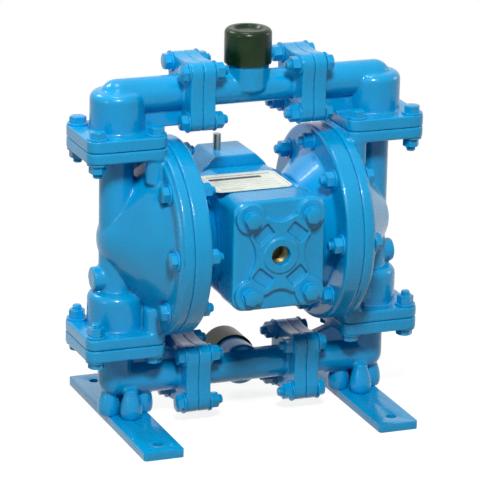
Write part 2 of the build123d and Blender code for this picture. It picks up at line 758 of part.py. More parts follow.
# ---- diaphragm set: the parts that travel with the rod, and the two elastomer discs ----
with BuildPart() as diaphragm:
    with BuildSketch(Plane.XZ):
        with BuildLine():
            roll_middle = (diaphragm_roll_outer + diaphragm_roll_inner) / 2
            Polyline(
                (diaphragm_seam_x, pump_axis_z + diaphragm_roll_inner),
                (diaphragm_seam_x, pump_axis_z + plate_stud_radius),
                (outer_plate_x, pump_axis_z + plate_stud_radius),
                (outer_plate_x, pump_axis_z + diaphragm_roll_inner),
            )
            ThreePointArc(
                (outer_plate_x, pump_axis_z + diaphragm_roll_inner),
                (outer_plate_x + diaphragm_roll_height, pump_axis_z + roll_middle),
                (outer_plate_x, pump_axis_z + diaphragm_roll_outer),
            )
            Polyline(
                (outer_plate_x, pump_axis_z + diaphragm_roll_outer),
                (outer_plate_x, pump_axis_z + diaphragm_radius),
                (diaphragm_seam_x, pump_axis_z + diaphragm_radius),
                (diaphragm_seam_x, pump_axis_z + diaphragm_roll_outer),
            )
            ThreePointArc(
                (diaphragm_seam_x, pump_axis_z + diaphragm_roll_outer),
                (diaphragm_seam_x + diaphragm_roll_height, pump_axis_z + roll_middle),
                (diaphragm_seam_x, pump_axis_z + diaphragm_roll_inner),
            )
        make_face()
    revolve(axis=rod_axis)
export_pair(diaphragm.part, "diaphragm")

with BuildPart() as inner_plate:
    with BuildSketch(Plane.YZ.offset(inner_plate_back_x)):
        with Locations((0, pump_axis_z)):
            Circle(plate_radius)
            Circle(plate_stud_radius, mode=Mode.SUBTRACT)
    extrude(amount=inner_plate_thickness)
    fillet(inner_plate.edges().group_by(Axis.X)[0].sort_by(SortBy.RADIUS)[-1], inner_plate_thickness / 3)
export_pair(inner_plate.part, "inner_plate")

outer_plate_back_x = outer_plate_x + plate_edge_thickness
outer_plate_crown_x = outer_plate_x + outer_plate_thickness
rod_end_x = inner_plate_back_x
with BuildPart() as outer_plate:
    with BuildSketch(Plane.XZ):
        with BuildLine():
            Polyline(
                (outer_plate_back_x, pump_axis_z + plate_radius),
                (outer_plate_x, pump_axis_z + plate_radius),
                (outer_plate_x, pump_axis_z + plate_stud_radius),
                (rod_end_x - plate_stud_depth, pump_axis_z + plate_stud_radius),
                (rod_end_x - plate_stud_depth, pump_axis_z),
                (outer_plate_crown_x, pump_axis_z),
            )
            TangentArc(
                (outer_plate_crown_x, pump_axis_z),
                (outer_plate_back_x, pump_axis_z + plate_radius),
                tangent=(0, 1),
            )
        make_face()
    revolve(axis=rod_axis)
export_pair(outer_plate.part, "outer_plate")

with BuildPart() as diaphragm_rod:
    with BuildSketch(Plane.YZ):
        with Locations((0, pump_axis_z)):
            Circle(rod_radius)
    extrude(amount=rod_end_x, both=True)
    for end in (-1, 1):
        with BuildSketch(Plane.YZ.offset(end * rod_end_x)):
            with Locations((0, pump_axis_z)):
                Circle(plate_stud_radius)
        extrude(amount=-end * (plate_stud_depth + fit_gap), mode=Mode.SUBTRACT)
export_piece(diaphragm_rod.part, "diaphragm_rod")

with BuildPart() as rod_bushing:
    with BuildSketch(Plane.YZ.offset(air_space_x - seal_width - bushing_length)):
        with Locations((0, pump_axis_z)):
            Circle(rod_radius + rod_running_gap + bushing_wall)
            Circle(rod_radius + rod_running_gap, mode=Mode.SUBTRACT)
    extrude(amount=bushing_length)
with BuildPart() as rod_bushings:
    add(rod_bushing.part)
    add(mirror(rod_bushing.part, about=Plane.YZ, mode=Mode.PRIVATE))
export_piece(rod_bushings.part, "rod_bushings")

with BuildPart() as rod_seal:
    with BuildSketch(Plane.YZ.offset(air_space_x - seal_width)):
        with Locations((0, pump_axis_z)):
            Circle(rod_radius + rod_running_gap + bushing_wall)
            Circle(rod_radius + rod_running_gap, mode=Mode.SUBTRACT)
    extrude(amount=seal_width)
with BuildPart() as rod_seals:
    add(rod_seal.part)
    add(mirror(rod_seal.part, about=Plane.YZ, mode=Mode.PRIVATE))
export_piece(rod_seals.part, "rod_seals")

# ---- ball valves: a seat on its gasket at each flange seam, and the ball above it ----
for stage, seam_z in (("suction", low_seam_z), ("discharge", high_seam_z)):
    with BuildPart() as seat:
        with BuildSketch(Plane.XZ):
            with BuildLine():
                Polyline(
                    (column_x + seat_bore_radius, seam_z - seat_thickness),
                    (column_x + seat_outer_radius, seam_z - seat_thickness),
                    (column_x + seat_outer_radius, seam_z),
                    (column_x + seat_bore_radius + seat_cone, seam_z),
                    (column_x + seat_bore_radius, seam_z - seat_cone),
                    close=True,
                )
            make_face()
        revolve(axis=column_axis)
    export_pair(seat.part, f"{stage}_seat")

    with BuildPart() as ball:
        with Locations((column_x, 0, seam_z + ball_rise)):
            Sphere(ball_radius)
    export_pair(ball.part, f"{stage}_ball")

with BuildPart() as seat_gaskets:
    for seam_z in (low_seam_z, high_seam_z):
        with BuildSketch(Plane.XY.offset(seam_z - seat_thickness)):
            with Locations((column_x, 0), (-column_x, 0)):
                Circle(seat_outer_radius)
                Circle(seat_bore_radius, mode=Mode.SUBTRACT)
        extrude(amount=-seat_gasket_thickness)
export_piece(seat_gaskets.part, "seat_gaskets")

# ---- centre block: carries both chambers, the pilot valve in front and the air valve behind ----
block_half_height = block_height / 2
pilot_pocket_depth = pilot_pocket_back_y - block_front_y
pilot_body_depth = pilot_pocket_depth - pilot_body_clearance
cover_bolt_spots = [
    (x, z)
    for x in (-cover_bolt_spacing_x / 2, cover_bolt_spacing_x / 2)
    for z in (-cover_bolt_spacing_z / 2, cover_bolt_spacing_z / 2)
]
valve_bolt_spots = [
    (x, z)
    for x in (-valve_bolt_spacing_x / 2, valve_bolt_spacing_x / 2)
    for z in (-valve_bolts_below, valve_bolts_above)
]


def front_plane(y):
    """A plane facing -Y, with local x along +X and its origin on the rod's height."""
    return Plane(origin=(0, y, pump_axis_z), x_dir=(1, 0, 0), z_dir=(0, -1, 0))


with BuildPart() as centre_block:
    with BuildSketch(front_plane(block_front_y)):
        with BuildLine():
            Polyline(
                (-block_half_width, block_corner - block_half_height),
                (-block_half_width, block_half_height - block_top_facet_drop),
                (-top_facet_x, block_half_height),
                (top_facet_x, block_half_height),
                (block_half_width, block_half_height - block_top_facet_drop),
                (block_half_width, block_corner - block_half_height),
                (block_half_width - block_corner, -block_half_height),
                (block_corner - block_half_width, -block_half_height),
                close=True,
            )
        make_face()
    extrude(amount=-(block_back_y - block_front_y))
    with BuildSketch(Plane.YZ):
        with Locations((0, pump_axis_z)):
            Circle(rod_bore)
    extrude(amount=block_half_width, both=True, mode=Mode.SUBTRACT)
    with BuildSketch(front_plane(block_front_y)):
        Rectangle(
            pilot_body_width + 2 * pilot_body_clearance, pilot_body_height + 2 * pilot_body_clearance
        )
    extrude(amount=-pilot_pocket_depth, mode=Mode.SUBTRACT)
    with BuildSketch(Plane.YZ):
        with Locations((pilot_axis_y, pump_axis_z)):
            Circle(actuator_radius + running_gap)
    extrude(amount=block_half_width, both=True, mode=Mode.SUBTRACT)
    with BuildSketch(front_plane(block_front_y)):
        with Locations(*cover_bolt_spots):
            Circle(bolt_radius + fit_gap)
    extrude(amount=-blind_thread, mode=Mode.SUBTRACT)
    with BuildSketch(front_plane(block_back_y)):
        with Locations(*valve_bolt_spots):
            Circle(bolt_radius + fit_gap)
    extrude(amount=blind_thread, mode=Mode.SUBTRACT)
export_piece(centre_block.part, "centre_block")

# ---- air inlet cover: hollow, with a cross of ribs, four pockets and the inlet hub ----
def waist_circle(half_gap_x, half_gap_z, waist):
    """Centre distance and radius of the arc between two lobes, at x = 0, above the middle."""
    rise = half_gap_z - waist
    radius = (half_gap_x**2 + rise**2 - cover_lobe_radius**2) / (2 * (rise + cover_lobe_radius))
    return waist + radius, radius


with BuildPart() as air_inlet_cover:
    with BuildSketch(front_plane(cover_back_y)):
        RectangleRounded(cover_width, cover_height, cover_corner)
    extrude(amount=cover_depth)
    fillet(air_inlet_cover.faces().sort_by(Axis.Y)[0].edges(), cover_edge_fillet)
    half_x = cover_bolt_spacing_x / 2
    half_z = cover_bolt_spacing_z / 2
    top_centre, top_radius = waist_circle(half_x, half_z, cover_waist_top)
    side_centre, side_radius = waist_circle(half_z, half_x, cover_waist_side)
    with BuildSketch(front_plane(cover_face_y)):
        Rectangle(cover_bolt_spacing_x, cover_bolt_spacing_z)
        with Locations((0, top_centre), (0, -top_centre)):
            Circle(top_radius, mode=Mode.SUBTRACT)
        with Locations((side_centre, 0), (-side_centre, 0)):
            Circle(side_radius, mode=Mode.SUBTRACT)
        with Locations(*cover_bolt_spots):
            Circle(cover_lobe_radius)
    extrude(amount=cover_rib_height)
    with BuildSketch(front_plane(cover_rib_y)):
        for x, z in cover_bolt_spots:
            lean = Vector(x, z, 0).normalized()
            turn = Vector(0, 1, 0).get_signed_angle(lean, Vector(0, 0, 1))
            with Locations(Location((lean.X * pocket_distance, lean.Y * pocket_distance, 0), (0, 0, turn))):
                Rectangle(pocket_width, pocket_length)
        Circle(cover_hub_radius, mode=Mode.SUBTRACT)
    extrude(amount=-pocket_depth, mode=Mode.SUBTRACT)
    with BuildSketch(front_plane(cover_face_y)):
        Circle(cover_hub_radius)
    extrude(amount=cover_hub_height)
    with BuildSketch(front_plane(cover_hub_y)):
        Circle(inlet_bore_radius)
    extrude(amount=-(cover_wall + cover_hub_height), mode=Mode.SUBTRACT)
    # air space behind the front wall, a cross that leaves the corners for the bolts
    cross_half_x = half_x - cover_lobe_radius + fit_gap
    cross_half_z = half_z - cover_lobe_radius + fit_gap
    with BuildSketch(front_plane(cover_back_y)):
        Rectangle(cover_width - 2 * cover_wall, 2 * cross_half_z)
        Rectangle(2 * cross_half_x, cover_height - 2 * cover_wall)
    extrude(amount=cover_depth - cover_wall, mode=Mode.SUBTRACT)
    with BuildSketch(front_plane(cover_back_y)):
        with Locations(*cover_bolt_spots):
            Circle(bolt_hole)
    extrude(amount=cover_depth + cover_rib_height, mode=Mode.SUBTRACT)
export_piece(air_inlet_cover.part, "air_inlet_cover")

with BuildPart() as cover_gasket:
    with BuildSketch(front_plane(block_front_y)):
        RectangleRounded(
            2 * block_half_width, block_height - 2 * block_top_facet_drop, cover_corner
        )
        with Locations(*cover_bolt_spots):
            Circle(bolt_hole, mode=Mode.SUBTRACT)
        Rectangle(
            pilot_body_width - 2 * gasket_lap, pilot_body_height - 2 * gasket_lap, mode=Mode.SUBTRACT
        )
    extrude(amount=gasket_thickness)
export_piece(cover_gasket.part, "cover_gasket")

with BuildPart() as nameplate:
    plate_width = nameplate_right_x - nameplate_left_x
    plate_centre = ((nameplate_left_x + nameplate_right_x) / 2, cover_back_y + nameplate_depth / 2)
    with BuildSketch(Plane.XY.offset(block_top_z)):
        with Locations(plate_centre):
            RectangleRounded(plate_width, nameplate_depth, nameplate_corner)
    extrude(amount=nameplate_thickness)
export_piece(nameplate.part, "nameplate")

# ---- pilot valve: a body in the front pocket, its spool, and an actuator pin on each side ----
pilot_half_width = pilot_body_width / 2
with BuildPart() as pilot_valve_body:
    with BuildSketch(front_plane(block_front_y)):
        Rectangle(pilot_body_width, pilot_body_height)
    extrude(amount=-pilot_body_depth)
    with BuildSketch(Plane.YZ):
        with Locations((pilot_axis_y, pump_axis_z)):
            Circle(pilot_spool_radius + running_gap)
    extrude(amount=pilot_half_width, both=True, mode=Mode.SUBTRACT)
export_piece(pilot_valve_body.part, "pilot_valve_body")


def spool_profile(axis_y, axis_z, half_length, land_length, land_radius, neck_radius):
    """A spool along X with a land at each end and one in the middle, on necks."""
    neck_end = half_length - land_length
    with BuildPart() as body:
        with BuildSketch(Plane(origin=(0, axis_y, axis_z), x_dir=(1, 0, 0), z_dir=(0, -1, 0))) as half:
            with BuildLine():
                Polyline(
                    (-half_length, 0),
                    (-half_length, land_radius),
                    (-neck_end, land_radius),
                    (-neck_end, neck_radius),
                    (-land_length / 2, neck_radius),
                    (-land_length / 2, land_radius),
                    (land_length / 2, land_radius),
                    (land_length / 2, neck_radius),
                    (neck_end, neck_radius),
                    (neck_end, land_radius),
                    (half_length, land_radius),
                    (half_length, 0),
                    close=True,
                )
            make_face()
        revolve(half.sketch, axis=Axis((0, axis_y, axis_z), (1, 0, 0)))
    return body.part


pilot_spool_half = pilot_half_width - pilot_travel
export_piece(
    spool_profile(
        pilot_axis_y, pump_axis_z, pilot_spool_half, pilot_spool_land, pilot_spool_radius, pilot_spool_neck
    ),
    "pilot_spool",
)

actuator_start_x = pilot_spool_half
plate_nearest_x = inner_plate_back_x - half_stroke
actuator_end_x = plate_nearest_x - pilot_travel - actuator_tip_gap
with BuildPart() as pilot_actuator:
    with BuildSketch(Plane.YZ.offset(actuator_start_x)):
        with Locations((pilot_axis_y, pump_axis_z)):
            Circle(actuator_radius)
    extrude(amount=actuator_end_x - actuator_start_x)
export_pair(pilot_actuator.part, "pilot_actuator")

# ---- main air valve behind the block: body, sleeve, spool, end caps and exhaust ----
with BuildPart() as valve_gasket:
    valve_low = valve_bottom_z - pump_axis_z
    valve_shoulder = valve_shoulder_z - pump_axis_z
    with BuildSketch(front_plane(block_back_y)):
        with Locations((0, (valve_low + valve_shoulder) / 2)):
            RectangleRounded(2 * valve_half_width, valve_shoulder - valve_low, cover_edge_fillet)
        with Locations(*valve_bolt_spots):
            Circle(bolt_hole, mode=Mode.SUBTRACT)
    extrude(amount=-valve_gasket_thickness)
export_piece(valve_gasket.part, "valve_gasket")

valve_step = valve_step_z - pump_axis_z
valve_top = valve_top_z - pump_axis_z
sleeve_axis = Plane(origin=(0, spool_axis_y, spool_axis_z), x_dir=(0, 1, 0), z_dir=(1, 0, 0))
with BuildPart() as valve_body:
    with BuildSketch(front_plane(valve_front_y)):
        with BuildLine():
            Polyline(
                (-valve_half_width, valve_low),
                (-valve_half_width, valve_shoulder),
                (-valve_step_x, valve_step),
                (-valve_top_x, valve_top),
                (valve_top_x, valve_top),
                (valve_step_x, valve_step),
                (valve_half_width, valve_shoulder),
                (valve_half_width, valve_low),
                close=True,
            )
        make_face()
    extrude(amount=-valve_depth)
    fillet(valve_body.edges().filter_by(Axis.Y), cover_edge_fillet)
    with BuildSketch(front_plane(valve_back_y)):
        with Locations((0, exhaust_z - pump_axis_z)):
            Circle(exhaust_boss_radius)
    extrude(amount=-exhaust_boss_height)
    with BuildSketch(front_plane(valve_back_y + exhaust_boss_height)):
        with Locations((0, exhaust_z - pump_axis_z)):
            Circle(exhaust_bore_radius)
    extrude(amount=exhaust_bore_depth, mode=Mode.SUBTRACT)
    with BuildSketch(sleeve_axis):
        Circle(sleeve_radius + fit_gap)
    extrude(amount=valve_half_width, both=True, mode=Mode.SUBTRACT)
    with BuildSketch(front_plane(valve_front_y)):
        with Locations(*valve_bolt_spots):
            Circle(bolt_hole)
    extrude(amount=-valve_depth, mode=Mode.SUBTRACT)
export_piece(valve_body.part, "valve_body")

with BuildPart() as valve_sleeve:
    with BuildSketch(sleeve_axis):
        Circle(sleeve_radius)
        Circle(spool_radius + running_gap, mode=Mode.SUBTRACT)
    extrude(amount=valve_half_width, both=True)
export_piece(valve_sleeve.part, "valve_sleeve")

spool_half_length = valve_half_width - spool_travel - spool_end_gap
valve_spool = spool_profile(
    spool_axis_y, spool_axis_z, spool_half_length, spool_land, spool_radius, spool_neck
)
export_piece(valve_spool, "valve_spool")

with BuildPart() as valve_end_caps:
    for end in (-1, 1):
        with BuildSketch(sleeve_axis.offset(end * valve_half_width)):
            Circle(end_cap_radius)
        extrude(amount=end * end_cap_thickness)
export_piece(valve_end_caps.part, "valve_end_caps")

with BuildPart() as valve_pin:
    with BuildSketch(Plane.XY.offset(valve_top_z)):
        with Locations((pin_x, spool_axis_y)):
            Circle(pin_radius)
    extrude(amount=pin_height)
export_piece(valve_pin.part, "valve_pin")


# ---- port caps: push over the port bosses, with a dished top ----
def port_cap(pipe_z, direction):
    """A cap whose roof rests on the port's face, open towards the pipe."""
    cap_open = port_boss_reach + cap_roof + cap_recess_depth - cap_length
    axis_origin = Vector(0, 0, pipe_z)
    profile_plane = Plane(origin=axis_origin, x_dir=(1, 0, 0), z_dir=Vector(1, 0, 0).cross(Vector(direction)))
    with BuildPart() as cap:
        with BuildSketch(profile_plane) as wall:
            with BuildLine():
                roof = port_boss_reach
                dish = roof + cap_roof
                top = dish + cap_recess_depth
                Polyline(
                    (0, roof),
                    (port_boss_radius + cap_gap, roof),
                    (port_boss_radius + cap_gap, cap_open),
                    (cap_radius, cap_open),
                    (cap_radius, top - cap_round),
                )
                RadiusArc((cap_radius, top - cap_round), (cap_radius - cap_round, top), -cap_round)
                Polyline(
                    (cap_radius - cap_round, top),
                    (cap_recess_radius, top),
                    (cap_recess_radius - cap_recess_depth, dish),
                    (0, dish),
                    (0, roof),
                )
            make_face()
        revolve(wall.sketch, axis=Axis(axis_origin, direction))
    return cap.part


export_piece(port_cap(high_pipe_z, (0, 0, 1)), "discharge_port_cap")
export_piece(port_cap(low_pipe_z, (0, 1, 0)), "suction_port_cap")

# ---- fasteners, grouped by kind and joint ----
both_sides = (-1, 1)


def level_seats(z, spots, facing):
    """Bearing faces on a level surface for both columns; x in spots grows away from the middle."""
    return [
        Plane(origin=(side * (column_x + x), y, z), x_dir=(1, 0, 0), z_dir=(0, 0, facing))
        for side in both_sides
        for x, y in spots
    ]


def upright_seats(x, pipe_z, facing_out):
    """Bearing faces on the upright flanges of one pipe, left and right."""
    return [
        Plane(origin=(side * x, y, pipe_z + z), x_dir=(0, 1, 0), z_dir=(side * facing_out, 0, 0))
        for side in both_sides
        for y, z in square_corners(side_half)
    ]


nut_stack = washer_thickness + nut_height + thread_stand_out
through_flat = 2 * flat_flange_thickness + nut_stack
into_boss = 2 * flat_flange_thickness + blind_thread - fit_gap
flat_top_z = high_seam_z + flat_flange_thickness
flat_bottom_z = low_seam_z - flat_flange_thickness
with BuildPart() as flat_flange_bolts:
    for z, facing in ((flat_top_z, -1), (flat_bottom_z, 1)):
        add(hex_bolts(level_seats(z, outer_corners, facing), through_flat))
        add(hex_bolts(level_seats(z, inner_corners, facing), into_boss))
export_piece(flat_flange_bolts.part, "flat_flange_bolts")

with BuildPart() as flat_flange_nuts:
    add(hex_nuts(level_seats(high_seam_z - flat_flange_thickness, outer_corners, -1)))
    add(hex_nuts(level_seats(low_seam_z + flat_flange_thickness, outer_corners, 1)))
export_piece(flat_flange_nuts.part, "flat_flange_nuts")

side_outer_x = side_seam_x + side_flange_thickness
side_inner_x = side_seam_x - side_flange_thickness
with BuildPart() as side_flange_bolts:
    for pipe_z in (low_pipe_z, high_pipe_z):
        add(hex_bolts(upright_seats(side_outer_x, pipe_z, -1), 2 * side_flange_thickness + nut_stack))
export_piece(side_flange_bolts.part, "side_flange_bolts")

with BuildPart() as side_flange_nuts:
    for pipe_z in (low_pipe_z, high_pipe_z):
        add(hex_nuts(upright_seats(side_inner_x, pipe_z, -1)))
export_piece(side_flange_nuts.part, "side_flange_nuts")

rim_grip = ring_face_x - inner_rim_back_x
with BuildPart() as rim_bolts:
    for side in both_sides:
        seats = around_rod(side * ring_face_x, ring_of_bolts(skip_upright=True), -side)
        add(hex_bolts(seats, rim_grip + nut_stack))
export_piece(rim_bolts.part, "rim_bolts")

with BuildPart() as rim_studs:
    for side in both_sides:
        for seat in around_rod(side * inner_rim_back_x, (90, 270), -side):
            with BuildSketch(seat.offset(nut_stack)):
                Circle(bolt_radius)
            extrude(amount=-(nut_stack + inner_rim_thickness + blind_thread - fit_gap))
export_piece(rim_studs.part, "rim_studs")

with BuildPart() as rim_nuts:
    for side in both_sides:
        add(hex_nuts(around_rod(side * inner_rim_back_x, ring_of_bolts(skip_upright=False), -side)))
export_piece(rim_nuts.part, "rim_nuts")

cover_bolt_seats = [
    Plane(origin=(x, cover_rib_y, pump_axis_z + z), x_dir=(1, 0, 0), z_dir=(0, 1, 0))
    for x, z in cover_bolt_spots
]
cover_bolt_shank = block_front_y - cover_rib_y + blind_thread - fit_gap
export_piece(hex_bolts(cover_bolt_seats, cover_bolt_shank), "cover_bolts")

valve_bolt_seats = [
    Plane(origin=(x, valve_back_y, pump_axis_z + z), x_dir=(1, 0, 0), z_dir=(0, -1, 0))
    for x, z in valve_bolt_spots
]
valve_bolt_shank = valve_depth + valve_gasket_thickness + blind_thread - fit_gap
export_piece(hex_bolts(valve_bolt_seats, valve_bolt_shank), "valve_bolts")
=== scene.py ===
# %% [markdown]
# # Dressing an air operated diaphragm pump
# The frame holds every piece of the pump at its real size and place, in metres. It is plain:
# sharp edges, no threads, no paint. This lesson gives the castings their rounded cast skin,
# builds the fasteners and threads, and paints it all in the one coat of blue enamel that such
# a pump gets after it is assembled.

# %% load the frame
import json
import math
import random
import bmesh
import bpy
from mathutils import Matrix, Vector


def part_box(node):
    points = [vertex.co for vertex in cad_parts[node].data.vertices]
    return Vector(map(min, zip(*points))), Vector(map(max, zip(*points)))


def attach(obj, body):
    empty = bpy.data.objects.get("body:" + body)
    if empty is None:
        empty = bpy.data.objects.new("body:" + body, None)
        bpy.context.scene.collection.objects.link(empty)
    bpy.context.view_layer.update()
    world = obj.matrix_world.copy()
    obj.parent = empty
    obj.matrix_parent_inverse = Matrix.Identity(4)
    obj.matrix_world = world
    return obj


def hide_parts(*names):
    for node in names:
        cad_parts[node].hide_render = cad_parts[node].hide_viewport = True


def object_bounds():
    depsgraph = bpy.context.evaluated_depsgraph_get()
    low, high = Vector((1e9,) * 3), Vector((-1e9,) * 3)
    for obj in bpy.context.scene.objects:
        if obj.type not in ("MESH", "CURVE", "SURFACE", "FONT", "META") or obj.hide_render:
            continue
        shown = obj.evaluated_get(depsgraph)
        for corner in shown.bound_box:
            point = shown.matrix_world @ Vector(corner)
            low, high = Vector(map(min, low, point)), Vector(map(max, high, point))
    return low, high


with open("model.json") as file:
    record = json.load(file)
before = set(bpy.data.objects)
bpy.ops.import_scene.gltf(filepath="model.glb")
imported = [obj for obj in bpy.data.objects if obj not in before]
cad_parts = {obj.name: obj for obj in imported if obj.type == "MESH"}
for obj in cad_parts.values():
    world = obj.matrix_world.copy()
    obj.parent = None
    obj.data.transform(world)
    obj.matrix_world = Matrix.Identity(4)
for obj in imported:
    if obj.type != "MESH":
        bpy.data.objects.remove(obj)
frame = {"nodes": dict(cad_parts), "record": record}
cad_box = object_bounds()
scene = bpy.context.scene
MM = 0.001
print("frame nodes:", len(frame["nodes"]))

# %% [markdown]
# ## Camera
# A long lens from a little to the left and above gives the flat, catalogue-like view. The
# camera is set from an azimuth, an elevation and a distance, so each can be changed alone, and
# it is rolled by about one degree.

# %% camera
CAMERA_AZIMUTH = math.radians(-21.58)
CAMERA_ELEVATION = math.radians(17.40)
CAMERA_ROLL = math.radians(1.17)
CAMERA_DISTANCE = 3.1523
CAMERA_TARGET = Vector((-4.15, 0.0, 171.68)) * MM
CAMERA_LENS = 244.0

back = Vector((
    math.sin(CAMERA_AZIMUTH) * math.cos(CAMERA_ELEVATION),
    -math.cos(CAMERA_AZIMUTH) * math.cos(CAMERA_ELEVATION),
    math.sin(CAMERA_ELEVATION),
))
level_right = Vector((math.cos(CAMERA_AZIMUTH), math.sin(CAMERA_AZIMUTH), 0.0))
level_up = back.cross(level_right)
right = level_right * math.cos(CAMERA_ROLL) + level_up * math.sin(CAMERA_ROLL)
up = level_up * math.cos(CAMERA_ROLL) - level_right * math.sin(CAMERA_ROLL)

camera_data = bpy.data.cameras.new("camera")
camera_data.lens = CAMERA_LENS
camera_data.sensor_width = 36.0
camera = bpy.data.objects.new("camera", camera_data)
camera.matrix_world = Matrix.Translation(CAMERA_TARGET + back * CAMERA_DISTANCE) @ Matrix(
    (right, up, back)
).transposed().to_4x4()
scene.collection.objects.link(camera)
scene.camera = camera
scene.view_settings.view_transform = "Standard"
print("camera at", [round(v, 3) for v in camera.matrix_world.translation])

# %% [markdown]
# ## Light
# Glossy paint needs large soft lights, because each one shows as a highlight of its own shape.
# A panel high in front does most of the work, so that tops and fronts are bright and what lies
# under the body falls into shade. One overhead lifts the tops, two weak ones keep the sides
# readable, and one behind lights the back for whoever turns the model round. An area lamp's
# light falls with the square of its distance, so its power is worked out from the brightness
# wanted at the pump.

# %% lamps
PUMP_MIDDLE = (cad_box[0] + cad_box[1]) / 2


def softbox(name, place, size, brightness):
    """A square panel aimed at the pump; a white card facing it there renders at brightness."""
    lamp_data = bpy.data.lights.new(name, "AREA")
    lamp_data.shape = "SQUARE"
    lamp_data.size = size
    offset = Vector(place) - PUMP_MIDDLE
    lamp_data.energy = brightness * math.pi**2 * offset.length_squared
    lamp = bpy.data.objects.new(name, lamp_data)
    lamp.location = place
    lamp.rotation_mode = "QUATERNION"
    lamp.rotation_quaternion = offset.to_track_quat("Z", "Y")
    scene.collection.objects.link(lamp)
    print(name, round(lamp_data.energy, 1), "W")


softbox("overhead_panel", (-0.15, 0.10, 1.95), 0.5, 0.24)
softbox("high_front_panel", (-0.45, -1.45, 1.75), 0.38, 0.84)
softbox("left_panel", (-1.9, -0.8, 0.75), 0.6, 0.12)
softbox("right_panel", (1.9, 0.0, 0.8), 0.6, 0.14)
softbox("rear_panel", (-1.1, 1.3, 1.9), 0.6, 0.34)

# %% [markdown]
# ## Node helper
# Every material below is a small network. One function adds a node, sets its properties and
# input values, and links what is passed as a socket, so a network reads like a recipe. Colours
# are written in hex, as a paint chart gives them, and turned to the linear values that a shader
# works in. Patterns are sized in millimetres.

# %% colours, nodes and scales


def linear(hex_colour):
    """An sRGB hex colour as linear red, green, blue and alpha."""
    channels = [int(hex_colour[i:i + 2], 16) / 255 for i in (1, 3, 5)]
    return [c / 12.92 if c <= 0.04045 else ((c + 0.055) / 1.055) ** 2.4 for c in channels] + [1.0]


def add_node(tree, kind, inputs=None, **settings):
    """Adds a node; inputs maps a socket's name or number to a value or to another socket."""
    node = tree.nodes.new(kind)
    for key, value in settings.items():
        setattr(node, key, value)
    for key, value in (inputs or {}).items():
        if isinstance(value, bpy.types.NodeSocket):
            tree.links.new(value, node.inputs[key])
        else:
            node.inputs[key].default_value = value
    return node


def new_material(name):
    """An empty node material and its tree."""
    material = bpy.data.materials.new(name)
    material.use_nodes = True
    material.node_tree.nodes.clear()
    return material, material.node_tree


def per_mm(size_mm):
    """Texture scale on Object coordinates for features of this size."""
    return 1 / (size_mm * MM)


# %% [markdown]
# ## World and floor
# The camera and every mirror-like surface see plain white behind the pump. The light that the
# world gives is much weaker. The floor is a sheet of paper: the camera sees it lifted almost to
# white, with a faint shadow, while the light that it throws back up stays low, so undersides
# keep their shade. It fades out before its edge.

# %% world and floor
WORLD_LIGHT = 0.05
WORLD_TINT = "#DCF4C8"


def direct_rays(tree):
    """1 for rays from the camera, a reflection or a clear piece, 0 for diffuse light."""
    ray = add_node(tree, "ShaderNodeLightPath")
    mirrored = add_node(tree, "ShaderNodeMath", {
        0: ray.outputs["Is Camera Ray"], 1: ray.outputs["Is Glossy Ray"]
    }, operation="MAXIMUM")
    return add_node(tree, "ShaderNodeMath", {
        0: mirrored.outputs[0], 1: ray.outputs["Is Transmission Ray"]
    }, operation="MAXIMUM").outputs[0]


world = bpy.data.worlds.new("studio")
scene.world = world
world.use_nodes = True
world_tree = world.node_tree
world_tree.nodes.clear()
room_light = add_node(world_tree, "ShaderNodeBackground", {
    "Color": linear(WORLD_TINT), "Strength": WORLD_LIGHT
})
plain_white = add_node(world_tree, "ShaderNodeBackground", {
    "Color": linear("#FFFFFF"), "Strength": 1.0
})
seen = add_node(world_tree, "ShaderNodeMixShader", {
    0: direct_rays(world_tree), 1: room_light.outputs[0], 2: plain_white.outputs[0]
})
add_node(world_tree, "ShaderNodeOutputWorld", {"Surface": seen.outputs[0]})

FLOOR_RADIUS = 1.1          # metres, as the fade's start and end are
FLOOR_FADE_START = 0.45
FLOOR_FADE_END = 0.95 * FLOOR_RADIUS
FLOOR_DROP = 0.3            # mm below the feet, so that the two faces don't fight
FLOOR_LIFT = 0.86
floor_paper, tree = new_material("white_floor_paper")
place = add_node(tree, "ShaderNodeTexCoord")
reach = add_node(tree, "ShaderNodeVectorMath", {0: place.outputs["Object"]}, operation="LENGTH")
fade = add_node(tree, "ShaderNodeMapRange", {
    "Value": reach.outputs["Value"], "From Min": FLOOR_FADE_START, "From Max": FLOOR_FADE_END
}, interpolation_type="SMOOTHSTEP")
paper = add_node(tree, "ShaderNodeBsdfDiffuse", {"Color": linear("#8E908C")})
glow = add_node(tree, "ShaderNodeMath", {0: direct_rays(tree), 1: FLOOR_LIFT}, operation="MULTIPLY")
lift = add_node(tree, "ShaderNodeEmission", {"Color": linear("#FFFFFF"), "Strength": glow.outputs[0]})
lifted = add_node(tree, "ShaderNodeAddShader", {0: paper.outputs[0], 1: lift.outputs[0]})
nothing = add_node(tree, "ShaderNodeBsdfTransparent")
faded = add_node(tree, "ShaderNodeMixShader", {
    0: fade.outputs["Result"], 1: lifted.outputs[0], 2: nothing.outputs[0]
})
add_node(tree, "ShaderNodeOutputMaterial", {"Surface": faded.outputs[0]})

floor_mesh = bpy.data.meshes.new("floor")
floor_bmesh = bmesh.new()
bmesh.ops.create_circle(floor_bmesh, cap_ends=True, segments=96, radius=FLOOR_RADIUS)
floor_bmesh.to_mesh(floor_mesh)
floor_bmesh.free()
floor = bpy.data.objects.new("floor", floor_mesh)
floor_mesh.materials.append(floor_paper)
scene.collection.objects.link(floor)
floor.location.z = -FLOOR_DROP * MM
print("floor radius", FLOOR_RADIUS, "m")

